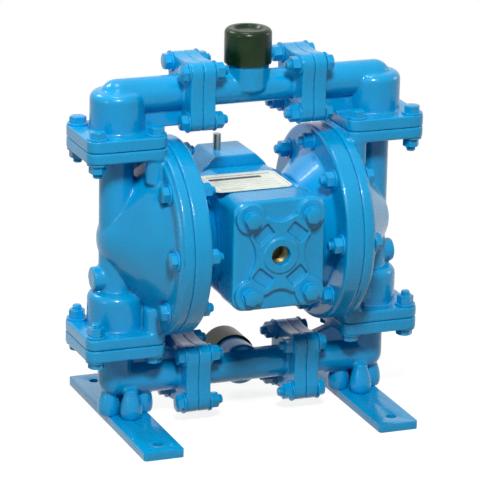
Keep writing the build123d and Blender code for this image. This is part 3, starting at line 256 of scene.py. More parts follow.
# %% [markdown]
# ## Blue enamel
# The whole pump, fasteners included, is sprayed with a glossy alkyd enamel after assembly. Over
# a sand casting that gives the eye three things: a hard clear gloss, the soft lumps of the sand
# mould about 3 mm apart, and the finer ripple of sprayed paint, called orange peel. The corners
# are also painted a deeper teal blue, as painted shade where less light falls. Pointiness tells
# them apart on the dense meshes of the castings.

# %% blue enamel
# Colour changes over clouds as wide as a hand's spray pass, down to the share of full colour
# where the coat is thin; in corners it turns to the deep colour as painted shade. Heights and
# distances are in mm.
CORNER_POINTINESS, OPEN_POINTINESS = 0.40, 0.49
CLOUD_MM = 38
THIN_COVERAGE = 0.84
ORANGE_PEEL_MM = 0.9
GLOSSY, DULL = 0.24, 0.36


def enamel(name, colour, shade_and_thin_coat_colour, lump_mm, lump_height, peel_height):
    """Sprayed alkyd enamel over cast or machined metal, with painted shade in its corners."""
    material, tree = new_material(name)
    place = add_node(tree, "ShaderNodeTexCoord").outputs["Object"]
    shape = add_node(tree, "ShaderNodeNewGeometry")
    # painted shade: below OPEN_POINTINESS, corners blend to the deep colour
    unshaded_share = add_node(tree, "ShaderNodeMapRange", {
        "Value": shape.outputs["Pointiness"],
        "From Min": CORNER_POINTINESS, "From Max": OPEN_POINTINESS,
    })
    cloud = add_node(tree, "ShaderNodeTexNoise", {"Vector": place, "Scale": per_mm(CLOUD_MM), "Detail": 3.0})
    cloud_share = add_node(tree, "ShaderNodeMapRange", {
        "Value": cloud.outputs[0], "From Min": 0.3, "From Max": 0.7, "To Min": THIN_COVERAGE, "To Max": 1.0
    })
    # the painted corner shade, times the thin coat over the clouds
    shade_and_coverage = add_node(tree, "ShaderNodeMath", {
        0: unshaded_share.outputs["Result"], 1: cloud_share.outputs["Result"]
    }, operation="MULTIPLY")
    tone = add_node(tree, "ShaderNodeMix", {
        "Factor": shade_and_coverage.outputs[0], 6: linear(shade_and_thin_coat_colour), 7: linear(colour)
    }, data_type="RGBA")
    lumps = add_node(tree, "ShaderNodeTexNoise", {
        "Vector": place, "Scale": per_mm(lump_mm), "Detail": 2.0
    })
    peel = add_node(tree, "ShaderNodeTexNoise", {
        "Vector": place, "Scale": per_mm(ORANGE_PEEL_MM), "Detail": 1.0
    })
    lump_bump = add_node(tree, "ShaderNodeBump", {
        "Strength": 1.0, "Distance": lump_height * MM, "Height": lumps.outputs[0]
    })
    peel_bump = add_node(tree, "ShaderNodeBump", {
        "Strength": 1.0, "Distance": peel_height * MM, "Height": peel.outputs[0],
        "Normal": lump_bump.outputs[0],
    })
    dull = add_node(tree, "ShaderNodeMapRange", {
        "Value": lumps.outputs[0], "From Min": 0.3, "From Max": 0.7, "To Min": GLOSSY, "To Max": DULL
    })
    paint = add_node(tree, "ShaderNodeBsdfPrincipled", {
        "Base Color": tone.outputs[2], "Roughness": dull.outputs["Result"],
        "Normal": peel_bump.outputs[0], "IOR": 1.45, "Specular IOR Level": 0.25,
        "Coat Weight": 0.4, "Coat Roughness": 0.05, "Coat IOR": 1.45,
    })
    add_node(tree, "ShaderNodeOutputMaterial", {"Surface": paint.outputs[0]})
    return material


ENAMEL_BLUE = "#009FDB"
# the deep colour is painted shade in corners and the colour of the thin coat
ENAMEL_SHADE_AND_THIN_COAT = "#015A70"
CAST_LUMP_MM, CAST_LUMP_HEIGHT = 3.0, 0.07
STEEL_LUMP_MM, STEEL_LUMP_HEIGHT = 6.0, 0.04
PEEL_HEIGHT = 0.010
cast_enamel = enamel(
    "alkyd_enamel_on_sand_casting", ENAMEL_BLUE, ENAMEL_SHADE_AND_THIN_COAT, CAST_LUMP_MM, CAST_LUMP_HEIGHT, PEEL_HEIGHT
)
steel_enamel = enamel(
    "alkyd_enamel_on_steel", ENAMEL_BLUE, ENAMEL_SHADE_AND_THIN_COAT, STEEL_LUMP_MM, STEEL_LUMP_HEIGHT, PEEL_HEIGHT
)
print("enamels:", cast_enamel.name, steel_enamel.name)

# %% [markdown]
# ## Helpers for pieces
# A new piece takes its shape from a node of the frame, whose mesh is loose triangles. They are
# merged in a copy, so that edges can be found, and the frame's own mesh stays as it is. Each
# finished piece rides on its body, takes its material and hides the nodes that it stands for.

# %% helpers for pieces
MERGE_DISTANCE = 0.002      # mm
CREASE_ANGLE = math.radians(32)


def link_piece(mesh, name, body, slot, material, *stands_for):
    """Makes a finished mesh a piece of the pump."""
    piece = bpy.data.objects.new(name, mesh)
    scene.collection.objects.link(piece)
    mesh.materials.clear()
    mesh.materials.append(material)
    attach(piece, body)
    if stands_for:
        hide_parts(*stands_for)
    print(name, len(mesh.polygons), "faces")
    return piece


def merged_copy(node):
    """A CAD node's mesh with its loose triangles joined."""
    copy = bmesh.new()
    copy.from_mesh(frame["nodes"][node].data)
    bmesh.ops.remove_doubles(copy, verts=copy.verts, dist=MERGE_DISTANCE * MM)
    return copy


def smooth_shaded(work, name):
    """Turns a bmesh into a mesh with smooth faces and creases at its sharp edges."""
    for face in work.faces:
        face.smooth = True
    for edge in work.edges:
        edge.smooth = edge.is_manifold and edge.calc_face_angle() < CREASE_ANGLE
    mesh = bpy.data.meshes.new(name)
    work.to_mesh(mesh)
    work.free()
    return mesh


# %% [markdown]
# ## Foot bosses
# Each lower elbow stands on its foot bar on four cast bosses, shaped like small bells: widest a
# little above the bar and drawn in to a neck. A turned shape is quickest made by spinning its
# outline, given as radius and height in mm. The bells are added to the elbow before its skin is
# made, so that the skin blends them into it.

# %% foot bosses
BOSS_OUTLINE = (
    (0, 0), (9.6, 0), (10.7, 4), (10.9, 8.5), (10.2, 14), (8.6, 19.5), (6.8, 24.5), (6.2, 29), (0, 29),
)
BOSS_SPREAD = 17.0
BOSS_STEPS = 40


def add_foot_bosses(work, bar):
    """Adds the four bells of a suction elbow to its mesh, round the middle of its foot bar."""
    low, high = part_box(bar)
    middle = Vector(((low[0] + high[0]) / 2, (low[1] + high[1]) / 2, high[2]))
    for across, along in ((1, 0), (-1, 0), (0, 1), (0, -1)):
        foot = middle + Vector((across, along, 0)) * BOSS_SPREAD * MM
        points = [work.verts.new(foot + Vector((radius, 0, z)) * MM) for radius, z in BOSS_OUTLINE]
        edges = [work.edges.new(pair) for pair in zip(points, points[1:])]
        bmesh.ops.spin(
            work, geom=points + edges, cent=foot, axis=(0, 0, 1), angle=math.tau, steps=BOSS_STEPS,
            use_merge=True,
        )
    bmesh.ops.remove_doubles(work, verts=work.verts, dist=MERGE_DISTANCE * MM)
    bmesh.ops.recalc_face_normals(work, faces=work.faces)


# %% [markdown]
# ## Cast skin
# A casting has no sharp edges: outer ones are rounded by the mould, and inner ones carry a
# fillet. Bevels would have to find every edge of a shape with many blends. A voxel remesh does
# both kinds at once: it lays an even grid over the surface, and smoothing that grid a few times
# rounds edges over about two voxels and leaves flat and gently curved faces where they were.

# %% cast skin


def cast_skin(node, voxel_mm, rounds):
    """The node's shape with the rounded edges and fillets of a casting."""
    copy = merged_copy(node)
    if node.startswith("suction_elbow"):
        add_foot_bosses(copy, node.replace("suction_elbow", "foot_bar"))
    mesh = bpy.data.meshes.new(node + "_skin")
    copy.to_mesh(mesh)
    copy.free()
    blank = bpy.data.objects.new(node + "_blank", mesh)
    scene.collection.objects.link(blank)
    remesh = blank.modifiers.new("grid", "REMESH")
    remesh.mode = "VOXEL"
    remesh.voxel_size = voxel_mm * MM
    skin = bpy.data.meshes.new_from_object(blank.evaluated_get(bpy.context.evaluated_depsgraph_get()))
    bpy.data.objects.remove(blank)
    work = bmesh.new()
    work.from_mesh(skin)
    for _ in range(rounds):
        bmesh.ops.smooth_vert(
            work, verts=work.verts, factor=0.5, use_axis_x=True, use_axis_y=True, use_axis_z=True
        )
    for face in work.faces:
        face.smooth = True
    work.to_mesh(skin)
    work.free()
    return skin


# %% castings
# The grid of each casting in mm: fine enough for its smallest ribs, and as coarse as keeps the
# piece under 200,000 triangles.
CASTINGS = {
    "outer_chamber_left": 1.35, "outer_chamber_right": 1.35,
    "inner_chamber_left": 1.4, "inner_chamber_right": 1.4,
    "suction_elbow_left": 1.05, "suction_elbow_right": 1.05,
    "discharge_elbow_left": 1.05, "discharge_elbow_right": 1.05,
    "suction_tee": 1.05, "discharge_tee": 1.05,
    "centre_block": 1.1, "air_inlet_cover": 0.75, "valve_body": 1.0, "valve_end_caps": 0.8,
}
SMOOTHING_ROUNDS = 3
for node, voxel_mm in CASTINGS.items():
    skin = cast_skin(node, voxel_mm, SMOOTHING_ROUNDS)
    link_piece(skin, node + "_casting", "housing", "blue_enamel", cast_enamel, node)

# %% [markdown]
# ## Foot bars
# The feet are lengths of flat steel bar, sawn and drilled, with only a light break on the edges
# before painting. Merging the bar's flat triangles back into whole faces leaves clean edges,
# which a small bevel rounds.

# %% foot bars
BAR_EDGE_BREAK = 0.9
FLAT_ANGLE = math.radians(2)
BEVEL_ANGLE = math.radians(40)


def broken_edges(node, width_mm):
    """The node's shape with a small round along each sharp edge."""
    work = merged_copy(node)
    bmesh.ops.dissolve_limit(work, angle_limit=FLAT_ANGLE, verts=work.verts, edges=work.edges)
    sharp = [edge for edge in work.edges if edge.is_manifold and edge.calc_face_angle() > BEVEL_ANGLE]
    bmesh.ops.bevel(
        work, geom=sharp, offset=width_mm * MM, offset_type="OFFSET", segments=3, profile=0.5,
        affect="EDGES", clamp_overlap=True, material=-1,
    )
    return smooth_shaded(work, node + "_bar")


for node in ("foot_bar_left", "foot_bar_right"):
    bar = broken_edges(node, BAR_EDGE_BREAK)
    link_piece(bar, node + "_flat_bar", "housing", "blue_enamel", steel_enamel, node)

# %% [markdown]
# ## Fasteners
# The pump is held by 3/8 inch hex bolts. A forged head is a hexagonal prism whose corners are
# turned off by a flat cone, which leaves a round flat on top. Each head, nut and washer is
# made once at the origin, with its seat at zero height, and then copied to each place. The places
# are read from the frame: each solid of a fastener node is an island of its mesh, its washer is
# the widest part, and its head lies on the side where the hexagon's height fits.

# %% fastener sizes
# All in mm. The thread has 16 turns to the inch.
ACROSS_FLATS = 14.3
HEAD_HEIGHT = 6.3
NUT_HEIGHT = 8.2
WASHER_RADIUS = 10.2
WASHER_THICKNESS = 1.6
LOCK_WASHER_RADIUS = 8.6
THREAD_RADIUS = 4.76
THREAD_PITCH = 1.59
THREAD_DEPTH = 0.75
CHAMFER_RIM = 0.95 * ACROSS_FLATS / 2
CHAMFER_SLOPE = math.radians(30)
CHAMFER_CUTS = 24
SAME_HEIGHT = 1e-7          # metres


def hexagon(work, low, height):
    """A hexagonal prism whose top corners are turned off by a 30 degree cone."""
    made = bmesh.ops.create_cone(
        work, cap_ends=True, segments=6, radius1=ACROSS_FLATS * MM / 3**0.5,
        radius2=ACROSS_FLATS * MM / 3**0.5, depth=height * MM,
    )["verts"]
    bmesh.ops.translate(work, vec=(0, 0, (low + height / 2) * MM), verts=made)
    for step in range(CHAMFER_CUTS):
        angle = math.tau * (step + 0.5) / CHAMFER_CUTS
        outward = Vector((math.cos(angle), math.sin(angle), 0))
        part = list({v for v in work.verts if v.co.z > (low + height / 2) * MM})
        edges = list({e for v in part for e in v.link_edges})
        faces = list({f for v in part for f in v.link_faces})
        cut = bmesh.ops.bisect_plane(
            work, geom=part + edges + faces, dist=SAME_HEIGHT, clear_outer=True,
            plane_co=outward * CHAMFER_RIM * MM + Vector((0, 0, (low + height) * MM)),
            plane_no=outward * math.sin(CHAMFER_SLOPE) + Vector((0, 0, math.cos(CHAMFER_SLOPE))),
        )["geom_cut"]
        bmesh.ops.contextual_create(work, geom=[e for e in cut if isinstance(e, bmesh.types.BMEdge)])


def disc(work, low, height, radius, edge_break):
    """A short cylinder with both rims slightly rounded, for washers and plain shanks."""
    made = bmesh.ops.create_cone(
        work, cap_ends=True, segments=40, radius1=radius * MM, radius2=radius * MM, depth=height * MM
    )["verts"]
    bmesh.ops.translate(work, vec=(0, 0, (low + height / 2) * MM), verts=made)
    edges = {e for v in made for e in v.link_edges}
    rims = {e for e in edges if abs(e.verts[0].co.z - e.verts[1].co.z) < SAME_HEIGHT}
    bmesh.ops.bevel(
        work, geom=list(rims), offset=edge_break * MM, offset_type="OFFSET", segments=2, profile=0.5,
        affect="EDGES", material=-1,
    )


# %% [markdown]
# ## Threads
# A thread is one ridge wound round a rod, or inside a bore. Spinning a closed triangle about the
# axis while it rises by one pitch for each turn makes that ridge, and a face on each end closes
# it. The crest's radius is larger than the root's on a bolt and smaller in a tapped hole, so the
# same function serves for both.

# %% thread
TURN_STEPS = 20
CREST_AT, RIDGE_END_AT = 0.45, 0.9      # along the axis, as shares of the pitch


def thread(work, root, crest, pitch, low, high):
    """A helical ridge between two heights, on a rod or in a bore."""
    corners = [(root, low), (crest, low + pitch * CREST_AT), (root, low + pitch * RIDGE_END_AT)]
    ring = [work.verts.new((radius * MM, 0, z * MM)) for radius, z in corners]
    sides = [work.edges.new((ring[i - 1], ring[i])) for i in range(3)]
    steps = int(TURN_STEPS * (high - low - pitch) / pitch)
    ends = bmesh.ops.spin(
        work, geom=ring + sides, cent=(0, 0, 0), axis=(0, 0, 1), dvec=(0, 0, pitch * MM / TURN_STEPS),
        angle=math.tau * steps / TURN_STEPS, steps=steps, use_merge=False, use_duplicate=False,
    )["geom_last"]
    bmesh.ops.contextual_create(work, geom=sides)
    bmesh.ops.contextual_create(work, geom=[e for e in ends if isinstance(e, bmesh.types.BMEdge)])


TIP_CHAMFER = 0.7
ROOT_SINK = 0.1
THREAD_START = 0.5


def threaded_end(work, tip, length):
    """A rod's end that points to -Z, with its thread and the chamfer that starts a nut."""
    core = THREAD_RADIUS - THREAD_DEPTH
    disc(work, tip, length, core, TIP_CHAMFER)
    thread(work, core - ROOT_SINK, THREAD_RADIUS, THREAD_PITCH, tip + THREAD_START, tip + length)


# %% fastener templates
SPARE_THREAD = 8.0          # thread below the nut's and washer's height
LEAST_SHANK = 1.0
SHANK_OVERLAP = 0.5
WASHER_EDGE = 0.3
SHANK_EDGE = 0.1


def template(name, *steps):
    """A mesh made by (function, arguments) steps, to be copied to each place."""
    work = bmesh.new()
    for make, arguments in steps:
        make(work, *arguments)
    bmesh.ops.recalc_face_normals(work, faces=work.faces)
    return smooth_shaded(work, name)


def bolt(shank, washer_radius):
    """A bolt standing on its washer, with its shank down from zero height."""
    threaded = min(shank - LEAST_SHANK, NUT_HEIGHT + WASHER_THICKNESS + SPARE_THREAD)
    plain = shank - threaded
    return template(
        "bolt",
        (disc, (0, WASHER_THICKNESS, washer_radius, WASHER_EDGE)),
        (hexagon, (WASHER_THICKNESS, HEAD_HEIGHT)),
        (disc, (-plain, plain + SHANK_OVERLAP, THREAD_RADIUS, SHANK_EDGE)),
        (threaded_end, (-shank, threaded + SHANK_OVERLAP)),
    )


def nut():
    """A nut standing on its washer."""
    return template(
        "nut",
        (disc, (0, WASHER_THICKNESS, WASHER_RADIUS, WASHER_EDGE)),
        (hexagon, (WASHER_THICKNESS, NUT_HEIGHT)),
    )


# %% places of the fasteners
WASHER_RIM_BAND = 0.5


def islands(work):
    """The separate solids of a mesh, as lists of their points."""
    seen = set()
    solids = []
    for start in work.verts:
        if start in seen:
            continue
        seen.add(start)
        patch = [start]
        for vert in patch:
            near = [edge.other_vert(vert) for edge in vert.link_edges]
            fresh = [other for other in near if other not in seen]
            seen.update(fresh)
            patch.extend(dict.fromkeys(fresh))
        solids.append([vert.co / MM for vert in patch])
    return solids


def solid_places(node, axis):
    """For each solid of a node: its middle across the axis, and its points."""
    work = merged_copy(node)
    places = []
    for points in islands(work):
        middle = Vector([
            (min(p[i] for p in points) + max(p[i] for p in points)) / 2 for i in range(3)
        ])
        middle[axis] = 0
        places.append((middle, points))
    work.free()
    return places


def from_axis(point, middle, axis):
    """Distance of a point from the line through middle along an axis."""
    offset = point - middle
    offset[axis] = 0
    return offset.length


def fastener_places(node, axis, head_height):
    """Seat, outward direction and shank length of each fastener of a node, in mm."""
    places = []
    for middle, points in solid_places(node, axis):
        rim = WASHER_RADIUS - WASHER_RIM_BAND
        washer = [p[axis] for p in points if from_axis(p, middle, axis) > rim]
        above = max(p[axis] for p in points) - max(washer)
        below = min(washer) - min(p[axis] for p in points)
        outward = 1 if abs(above - head_height) < abs(below - head_height) else -1
        seat = middle.copy()
        seat[axis] = min(washer) if outward > 0 else max(washer)
        direction = Vector((0, 0, 0))
        direction[axis] = outward
        places.append((seat, direction, below if outward > 0 else above))
    return places


def set_in_place(work, pattern, seat, direction, turn):
    """Adds a copy of a template mesh with its +Z along direction and its origin on the seat."""
    first = len(work.verts)
    work.from_mesh(pattern)
    work.verts.ensure_lookup_table()
    tilt = Vector((0, 0, 1)).rotation_difference(direction).to_matrix().to_4x4()
    move = Matrix.Translation(seat * MM) @ tilt @ Matrix.Rotation(turn, 4, "Z")
    bmesh.ops.transform(work, matrix=move, verts=work.verts[first:])


def finished(work, name):
    """Turns assembled copies into a mesh, keeping the creases of the templates."""
    mesh = bpy.data.meshes.new(name)
    work.to_mesh(mesh)
    work.free()
    return mesh


# %% bolts and nuts
# Wrenches leave each hexagon at its own angle, so each gets a seeded random turn.
X_AXIS, Y_AXIS, Z_AXIS = 0, 1, 2
FASTENERS = {
    "flat_flange_bolts": (Z_AXIS, HEAD_HEIGHT, WASHER_RADIUS),
    "side_flange_bolts": (X_AXIS, HEAD_HEIGHT, WASHER_RADIUS),
    "rim_bolts": (X_AXIS, HEAD_HEIGHT, WASHER_RADIUS),
    "cover_bolts": (Y_AXIS, HEAD_HEIGHT, LOCK_WASHER_RADIUS),
    "valve_bolts": (Y_AXIS, HEAD_HEIGHT, WASHER_RADIUS),
    "flat_flange_nuts": (Z_AXIS, NUT_HEIGHT, WASHER_RADIUS),
    "side_flange_nuts": (X_AXIS, NUT_HEIGHT, WASHER_RADIUS),
    "rim_nuts": (X_AXIS, NUT_HEIGHT, WASHER_RADIUS),
}
SPANNER_SEED = 38
spanner = random.Random(SPANNER_SEED)
patterns = {}
for node, (axis, head_height, washer_radius) in FASTENERS.items():
    work = bmesh.new()
    for seat, direction, shank in fastener_places(node, axis, head_height):
        key = (round(shank, 1), washer_radius)
        if key not in patterns:
            patterns[key] = bolt(*key) if shank > LEAST_SHANK else nut()
        set_in_place(work, patterns[key], seat, direction, spanner.uniform(0, math.tau))
    link_piece(finished(work, node), node + "_hex", "housing", "blue_enamel", steel_enamel, node)

# %% studs
work = bmesh.new()
for middle, points in solid_places("rim_studs", X_AXIS):
    low, high = min(p.x for p in points), max(p.x for p in points)
    key = ("stud", round(high - low, 1))
    if key not in patterns:
        patterns[key] = template("stud", (threaded_end, (0, high - low)))
    set_in_place(work, patterns[key], Vector((low, middle.y, middle.z)), Vector((1, 0, 0)), 0)
studs = finished(work, "rim_studs")
link_piece(studs, "rim_studs_threaded", "housing", "blue_enamel", steel_enamel, "rim_studs")

# %% [markdown]
# ## Tapped ports
# The air inlet, the exhaust and the two liquid ports carry pipe threads. The frame has plain
# bores there. A ridge wound on the wall of each bore shows the thread where the light falls in;
# its root is sunk a little into the casting. The inlet's thread is cut after casting and keeps
# oil and a little rust, so it is brownish metal and not blue.

# %% port threads
PITCHES = {"air_inlet": 1.81, "exhaust": 1.81, "discharge_port": 2.21, "suction_port": 2.21}
WALL_SINK = 0.3
RIDGE_HEIGHT = 0.9
THREAD_INSET = 0.6
RUST_MM = 4                 # size of the stains

oiled_iron, tree = new_material("oiled_cast_iron")
place = add_node(tree, "ShaderNodeTexCoord").outputs["Object"]
stain = add_node(tree, "ShaderNodeTexNoise", {"Vector": place, "Scale": per_mm(RUST_MM), "Detail": 4.0})
stain_tone = add_node(tree, "ShaderNodeMix", {
    "Factor": stain.outputs[0], 6: linear("#3A3A22"), 7: linear("#8C8358")
}, data_type="RGBA")
iron = add_node(tree, "ShaderNodeBsdfPrincipled", {
    "Base Color": stain_tone.outputs[2], "Metallic": 0.8, "Roughness": 0.38
})
add_node(tree, "ShaderNodeOutputMaterial", {"Surface": iron.outputs[0]})

mounts = {mount["name"]: mount for mount in frame["record"]["mounts"]}
for port, pitch in PITCHES.items():
    name = port + "_thread"
    mount = mounts[port]
    bore, depth = mount["dims"]["r_mm"], mount["dims"]["length_mm"]
    pattern = template(name, (
        thread, (bore + WALL_SINK, bore - RIDGE_HEIGHT, pitch, -depth + THREAD_INSET, -THREAD_INSET)
    ))
    work = bmesh.new()
    mouth = Vector(mount["pos_m"]) / MM
    set_in_place(work, pattern, mouth, Vector(mount["axis"]), 0)
    link_piece(finished(work, name), name, "housing", "blue_enamel", oiled_iron)

# %% [markdown]
# ## Inlet bore lining
# Behind the thread the drilled bore is bare iron as well. A thin sleeve just inside the bore
# covers the painted wall, and a back face closes the view into the cover.

# %% bore lining
LINING_GAP = 0.05
LINING_WALL = 0.3
LINING_MOUTH = 1.0          # from the face of the boss to the start of the sleeve
LINING_END_GAP = 0.2        # from its back face to the end of the bore
mount = mounts["air_inlet"]
lining_radius = mount["dims"]["r_mm"] - LINING_GAP
lining_length = mount["dims"]["length_mm"] - LINING_MOUTH - LINING_END_GAP
lining_middle = -LINING_MOUTH - lining_length / 2
work = bmesh.new()
made = bmesh.ops.create_cone(
    work, cap_ends=False, segments=48, radius1=lining_radius * MM, radius2=lining_radius * MM,
    depth=lining_length * MM,
)["verts"]
bmesh.ops.translate(work, vec=(0, 0, lining_middle * MM), verts=made)
bottom = [e for e in work.edges if e.is_boundary and e.verts[0].co.z < lining_middle * MM]
bmesh.ops.contextual_create(work, geom=bottom)
bmesh.ops.reverse_faces(work, faces=work.faces)
bmesh.ops.solidify(work, geom=work.faces[:], thickness=-LINING_WALL * MM)
bmesh.ops.recalc_face_normals(work, faces=work.faces)
lining = smooth_shaded(work, "lining")
work = bmesh.new()
set_in_place(work, lining, Vector(mount["pos_m"]) / MM, Vector(mount["axis"]), 0)
link_piece(finished(work, "air_inlet_lining"), "air_inlet_lining", "housing", "blue_enamel", oiled_iron)

# %% [markdown]
# ## Nameplate
# A data plate is a printed polyester film: cream, slightly glossy, with a fine border and blank
# fields. The print is laid on as very thin raised rectangles, so it stays sharp at any distance.

# %% film and inks
FILM_AGE_MM = 22
INK_WEAR_MM = 3
film, tree = new_material("printed_polyester_film")
place = add_node(tree, "ShaderNodeTexCoord").outputs["Object"]
age = add_node(tree, "ShaderNodeTexNoise", {"Vector": place, "Scale": per_mm(FILM_AGE_MM), "Detail": 3.0})
film_tone = add_node(tree, "ShaderNodeMix", {
    "Factor": age.outputs[0], 6: linear("#EDF0DC"), 7: linear("#F8FAEC")
}, data_type="RGBA")
gloss = add_node(tree, "ShaderNodeMapRange", {
    "Value": age.outputs[0], "To Min": 0.22, "To Max": 0.34
})
sheet = add_node(tree, "ShaderNodeBsdfPrincipled", {
    "Base Color": film_tone.outputs[2], "Roughness": gloss.outputs["Result"], "IOR": 1.57
})
add_node(tree, "ShaderNodeOutputMaterial", {"Surface": sheet.outputs[0]})


def ink(name, colour, worn_colour):
    """Screen printing ink, a little thinner here and there."""
    material, tree = new_material(name)
    place = add_node(tree, "ShaderNodeTexCoord").outputs["Object"]
    wear = add_node(tree, "ShaderNodeTexNoise", {
        "Vector": place, "Scale": per_mm(INK_WEAR_MM), "Detail": 2.0
    })
    tone = add_node(tree, "ShaderNodeMix", {
        "Factor": wear.outputs[0], 6: linear(colour), 7: linear(worn_colour)
    }, data_type="RGBA")
    print_layer = add_node(tree, "ShaderNodeBsdfPrincipled", {
        "Base Color": tone.outputs[2], "Roughness": 0.45
    })
    add_node(tree, "ShaderNodeOutputMaterial", {"Surface": print_layer.outputs[0]})
    return material


black_ink = ink("black_screen_ink", "#1C2422", "#3C4644")
grey_ink = ink("grey_screen_ink", "#8A958F", "#A7B0AA")
ochre_ink = ink("ochre_screen_ink", "#A8964A", "#BFAF66")

# %% print
plate_low, plate_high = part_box("nameplate")
PRINT_RISE = 0.04
PRINT_MARGIN = 2.5
BORDER_WIDTH = 0.5


def print_bar(work, left, front, width, depth):
    """A thin raised rectangle on the plate, in mm from its left and front edges."""
    size = Vector((width, depth, PRINT_RISE)) * MM
    corner = Vector((plate_low.x, plate_low.y, plate_high.z)) + Vector((left, front, 0)) * MM
    made = bmesh.ops.create_cube(work, size=1.0)["verts"]
    bmesh.ops.transform(
        work, matrix=Matrix.Translation(corner + size / 2) @ Matrix.Diagonal(size.to_4d()), verts=made
    )


plate_width, plate_depth, _ = (plate_high - plate_low) / MM
inner_width = plate_width - 2 * PRINT_MARGIN
inner_depth = plate_depth - 2 * PRINT_MARGIN
prints = {name: bmesh.new() for name in ("border", "heading", "rules", "footing")}
# border: two long sides and two short ones
for front in (PRINT_MARGIN, plate_depth - PRINT_MARGIN - BORDER_WIDTH):
    print_bar(prints["border"], PRINT_MARGIN, front, inner_width, BORDER_WIDTH)
for left in (PRINT_MARGIN, plate_width - PRINT_MARGIN - BORDER_WIDTH):
    print_bar(prints["border"], left, PRINT_MARGIN, BORDER_WIDTH, inner_depth)
# heading: a thin and a bold band across the back
BAND_LEFT = 7.0
BAND_WIDTH = plate_width - 2 * BAND_LEFT
THIN_BAND_FROM_BACK, THIN_BAND_DEPTH = 9.5, 2.2
BOLD_BAND_FROM_BACK, BOLD_BAND_DEPTH, BOLD_BAND_SHORTER = 20.0, 6.0, 12.0
print_bar(prints["rules"], BAND_LEFT, plate_depth - THIN_BAND_FROM_BACK, BAND_WIDTH, THIN_BAND_DEPTH)
print_bar(
    prints["heading"], BAND_LEFT, plate_depth - BOLD_BAND_FROM_BACK, BAND_WIDTH - BOLD_BAND_SHORTER,
    BOLD_BAND_DEPTH,
)
# two columns of blank fields, each a line to write on
FIELD_ROWS, FIELD_PITCH, FIELD_WIDTH, FIELD_GAP = 4, 6.0, 29.0, 5.0
FIRST_FIELD_FRONT, FIELD_LINE = 10.0, 0.5
for row in range(FIELD_ROWS):
    for left in (BAND_LEFT, BAND_LEFT + FIELD_WIDTH + FIELD_GAP):
        front = FIRST_FIELD_FRONT + row * FIELD_PITCH
        print_bar(prints["rules"], left, front, FIELD_WIDTH, FIELD_LINE)
FOOTING_FRONT, FOOTING_WIDTH, FOOTING_DEPTH = 5.2, 24.0, 1.6
print_bar(prints["footing"], BAND_LEFT, FOOTING_FRONT, FOOTING_WIDTH, FOOTING_DEPTH)

inks = {"border": grey_ink, "heading": black_ink, "rules": grey_ink, "footing": ochre_ink}
for name, work in prints.items():
    link_piece(finished(work, "plate_" + name), "nameplate_" + name, "housing", "plate_film", inks[name])

# %% [markdown]
# ## Finishes of the pieces that keep their frame shape
# The caps are injection moulded polyethylene: black with a green cast, waxy and scuffed. Inside
# the pump there are rubber, acetal, bronze, aluminium and steel. One function makes the speckled
# finishes and another the turned ones, whose fine rings run round the axis of the lathe.

# %% speckled and turned finishes
CLOUDS_PER_SPECK = 12
WAVE_PHASE = 20         # radians by which a wave texture's bands advance per unit at a scale of 1
TOOL_MARK_HEIGHT = 0.006


def speckled(name, colour, other_colour, speck_mm, roughness, metallic=0.0, bump_mm=0.01, ior=1.5):
    """A moulded, cast or plated surface with two tones and an uneven gloss."""
    material, tree = new_material(name)
    place = add_node(tree, "ShaderNodeTexCoord").outputs["Object"]
    specks = add_node(tree, "ShaderNodeTexNoise", {
        "Vector": place, "Scale": per_mm(speck_mm), "Detail": 4.0
    })
    clouds = add_node(tree, "ShaderNodeTexNoise", {
        "Vector": place, "Scale": per_mm(speck_mm * CLOUDS_PER_SPECK), "Detail": 2.0
    })
    share = add_node(tree, "ShaderNodeMath", {
        0: specks.outputs[0], 1: clouds.outputs[0]
    }, operation="MULTIPLY")
    spread = add_node(tree, "ShaderNodeMapRange", {
        "Value": share.outputs[0], "From Min": 0.1, "From Max": 0.4
    })
    tone = add_node(tree, "ShaderNodeMix", {
        "Factor": spread.outputs["Result"], 6: linear(colour), 7: linear(other_colour)
    }, data_type="RGBA")
    gloss = add_node(tree, "ShaderNodeMapRange", {
        "Value": clouds.outputs[0], "From Min": 0.3, "From Max": 0.7,
        "To Min": roughness * 0.8, "To Max": roughness * 1.2,
    })
    relief = add_node(tree, "ShaderNodeBump", {
        "Strength": 1.0, "Distance": bump_mm * MM, "Height": specks.outputs[0]
    })
    surface = add_node(tree, "ShaderNodeBsdfPrincipled", {
        "Base Color": tone.outputs[2], "Roughness": gloss.outputs["Result"], "Normal": relief.outputs[0],
        "Metallic": metallic, "IOR": ior,
    })
    add_node(tree, "ShaderNodeOutputMaterial", {"Surface": surface.outputs[0]})
    return material


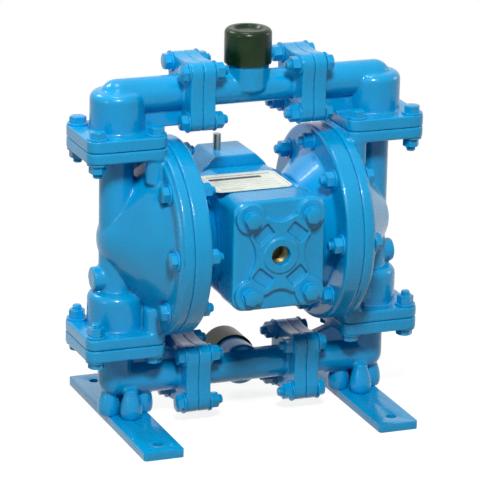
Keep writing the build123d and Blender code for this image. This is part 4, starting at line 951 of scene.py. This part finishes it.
def turned(name, colour, ring_mm, roughness, direction="X"):
    """Metal turned on a lathe, with tool marks across the given axis."""
    material, tree = new_material(name)
    place = add_node(tree, "ShaderNodeTexCoord").outputs["Object"]
    rings = add_node(tree, "ShaderNodeTexWave", {
        "Vector": place, "Scale": per_mm(ring_mm) * math.tau / WAVE_PHASE, "Distortion": 0.6, "Detail": 2.0
    }, wave_type="BANDS", bands_direction=direction)
    relief = add_node(tree, "ShaderNodeBump", {
        "Strength": 0.6, "Distance": TOOL_MARK_HEIGHT * MM, "Height": rings.outputs["Fac"]
    })
    gloss = add_node(tree, "ShaderNodeMapRange", {
        "Value": rings.outputs["Fac"], "To Min": roughness * 0.85, "To Max": roughness * 1.15
    })
    surface = add_node(tree, "ShaderNodeBsdfPrincipled", {
        "Base Color": linear(colour), "Metallic": 1.0, "Roughness": gloss.outputs["Result"],
        "Normal": relief.outputs[0],
    })
    add_node(tree, "ShaderNodeOutputMaterial", {"Surface": surface.outputs[0]})
    return material


# %% the finishes
# Real tool marks are a few tenths of a millimetre apart, too fine to show at this size, so the
# rings are drawn 4 to 5 mm apart.
FINISHES = {
    "black_cap_plastic": speckled(
        "moulded_polyethylene", "#061808", "#143414", 1.6, 0.26, bump_mm=0.02, ior=1.33
    ),
    "diaphragm_rubber": speckled(
        "moulded_chloroprene_rubber", "#17181A", "#232426", 0.8, 0.62, bump_mm=0.02
    ),
    "gasket_rubber": speckled("sheet_nitrile_rubber", "#1D1E1D", "#2B2D2B", 0.6, 0.7, bump_mm=0.02),
    "ball_plastic": speckled("moulded_thermoplastic_rubber", "#20211F", "#30312E", 0.9, 0.55),
    "acetal": speckled("machined_acetal", "#E9E6DA", "#F4F2EA", 1.2, 0.35, bump_mm=0.005, ior=1.48),
    "turned_steel": turned("turned_stainless_steel", "#B9BBBD", 5.03, 0.24),
    "plated_steel": speckled("zinc_plated_steel", "#8E928C", "#C4C6BE", 1.1, 0.34, metallic=1.0),
    "sleeve_aluminium": turned("honed_aluminium", "#C9CBCE", 3.77, 0.3),
    "bushing_bronze": turned("turned_bronze", "#B0803C", 4.40, 0.32),
    "plate_film": film,
    "blue_enamel": steel_enamel,
}
slots = {entry["node"]: entry["material_slot"] for entry in frame["record"]["subparts"]}
for name, piece in frame["nodes"].items():
    if piece.hide_render:
        continue
    piece.data.materials.clear()
    piece.data.materials.append(FINISHES[slots[name]])
    print(name, "->", FINISHES[slots[name]].name)
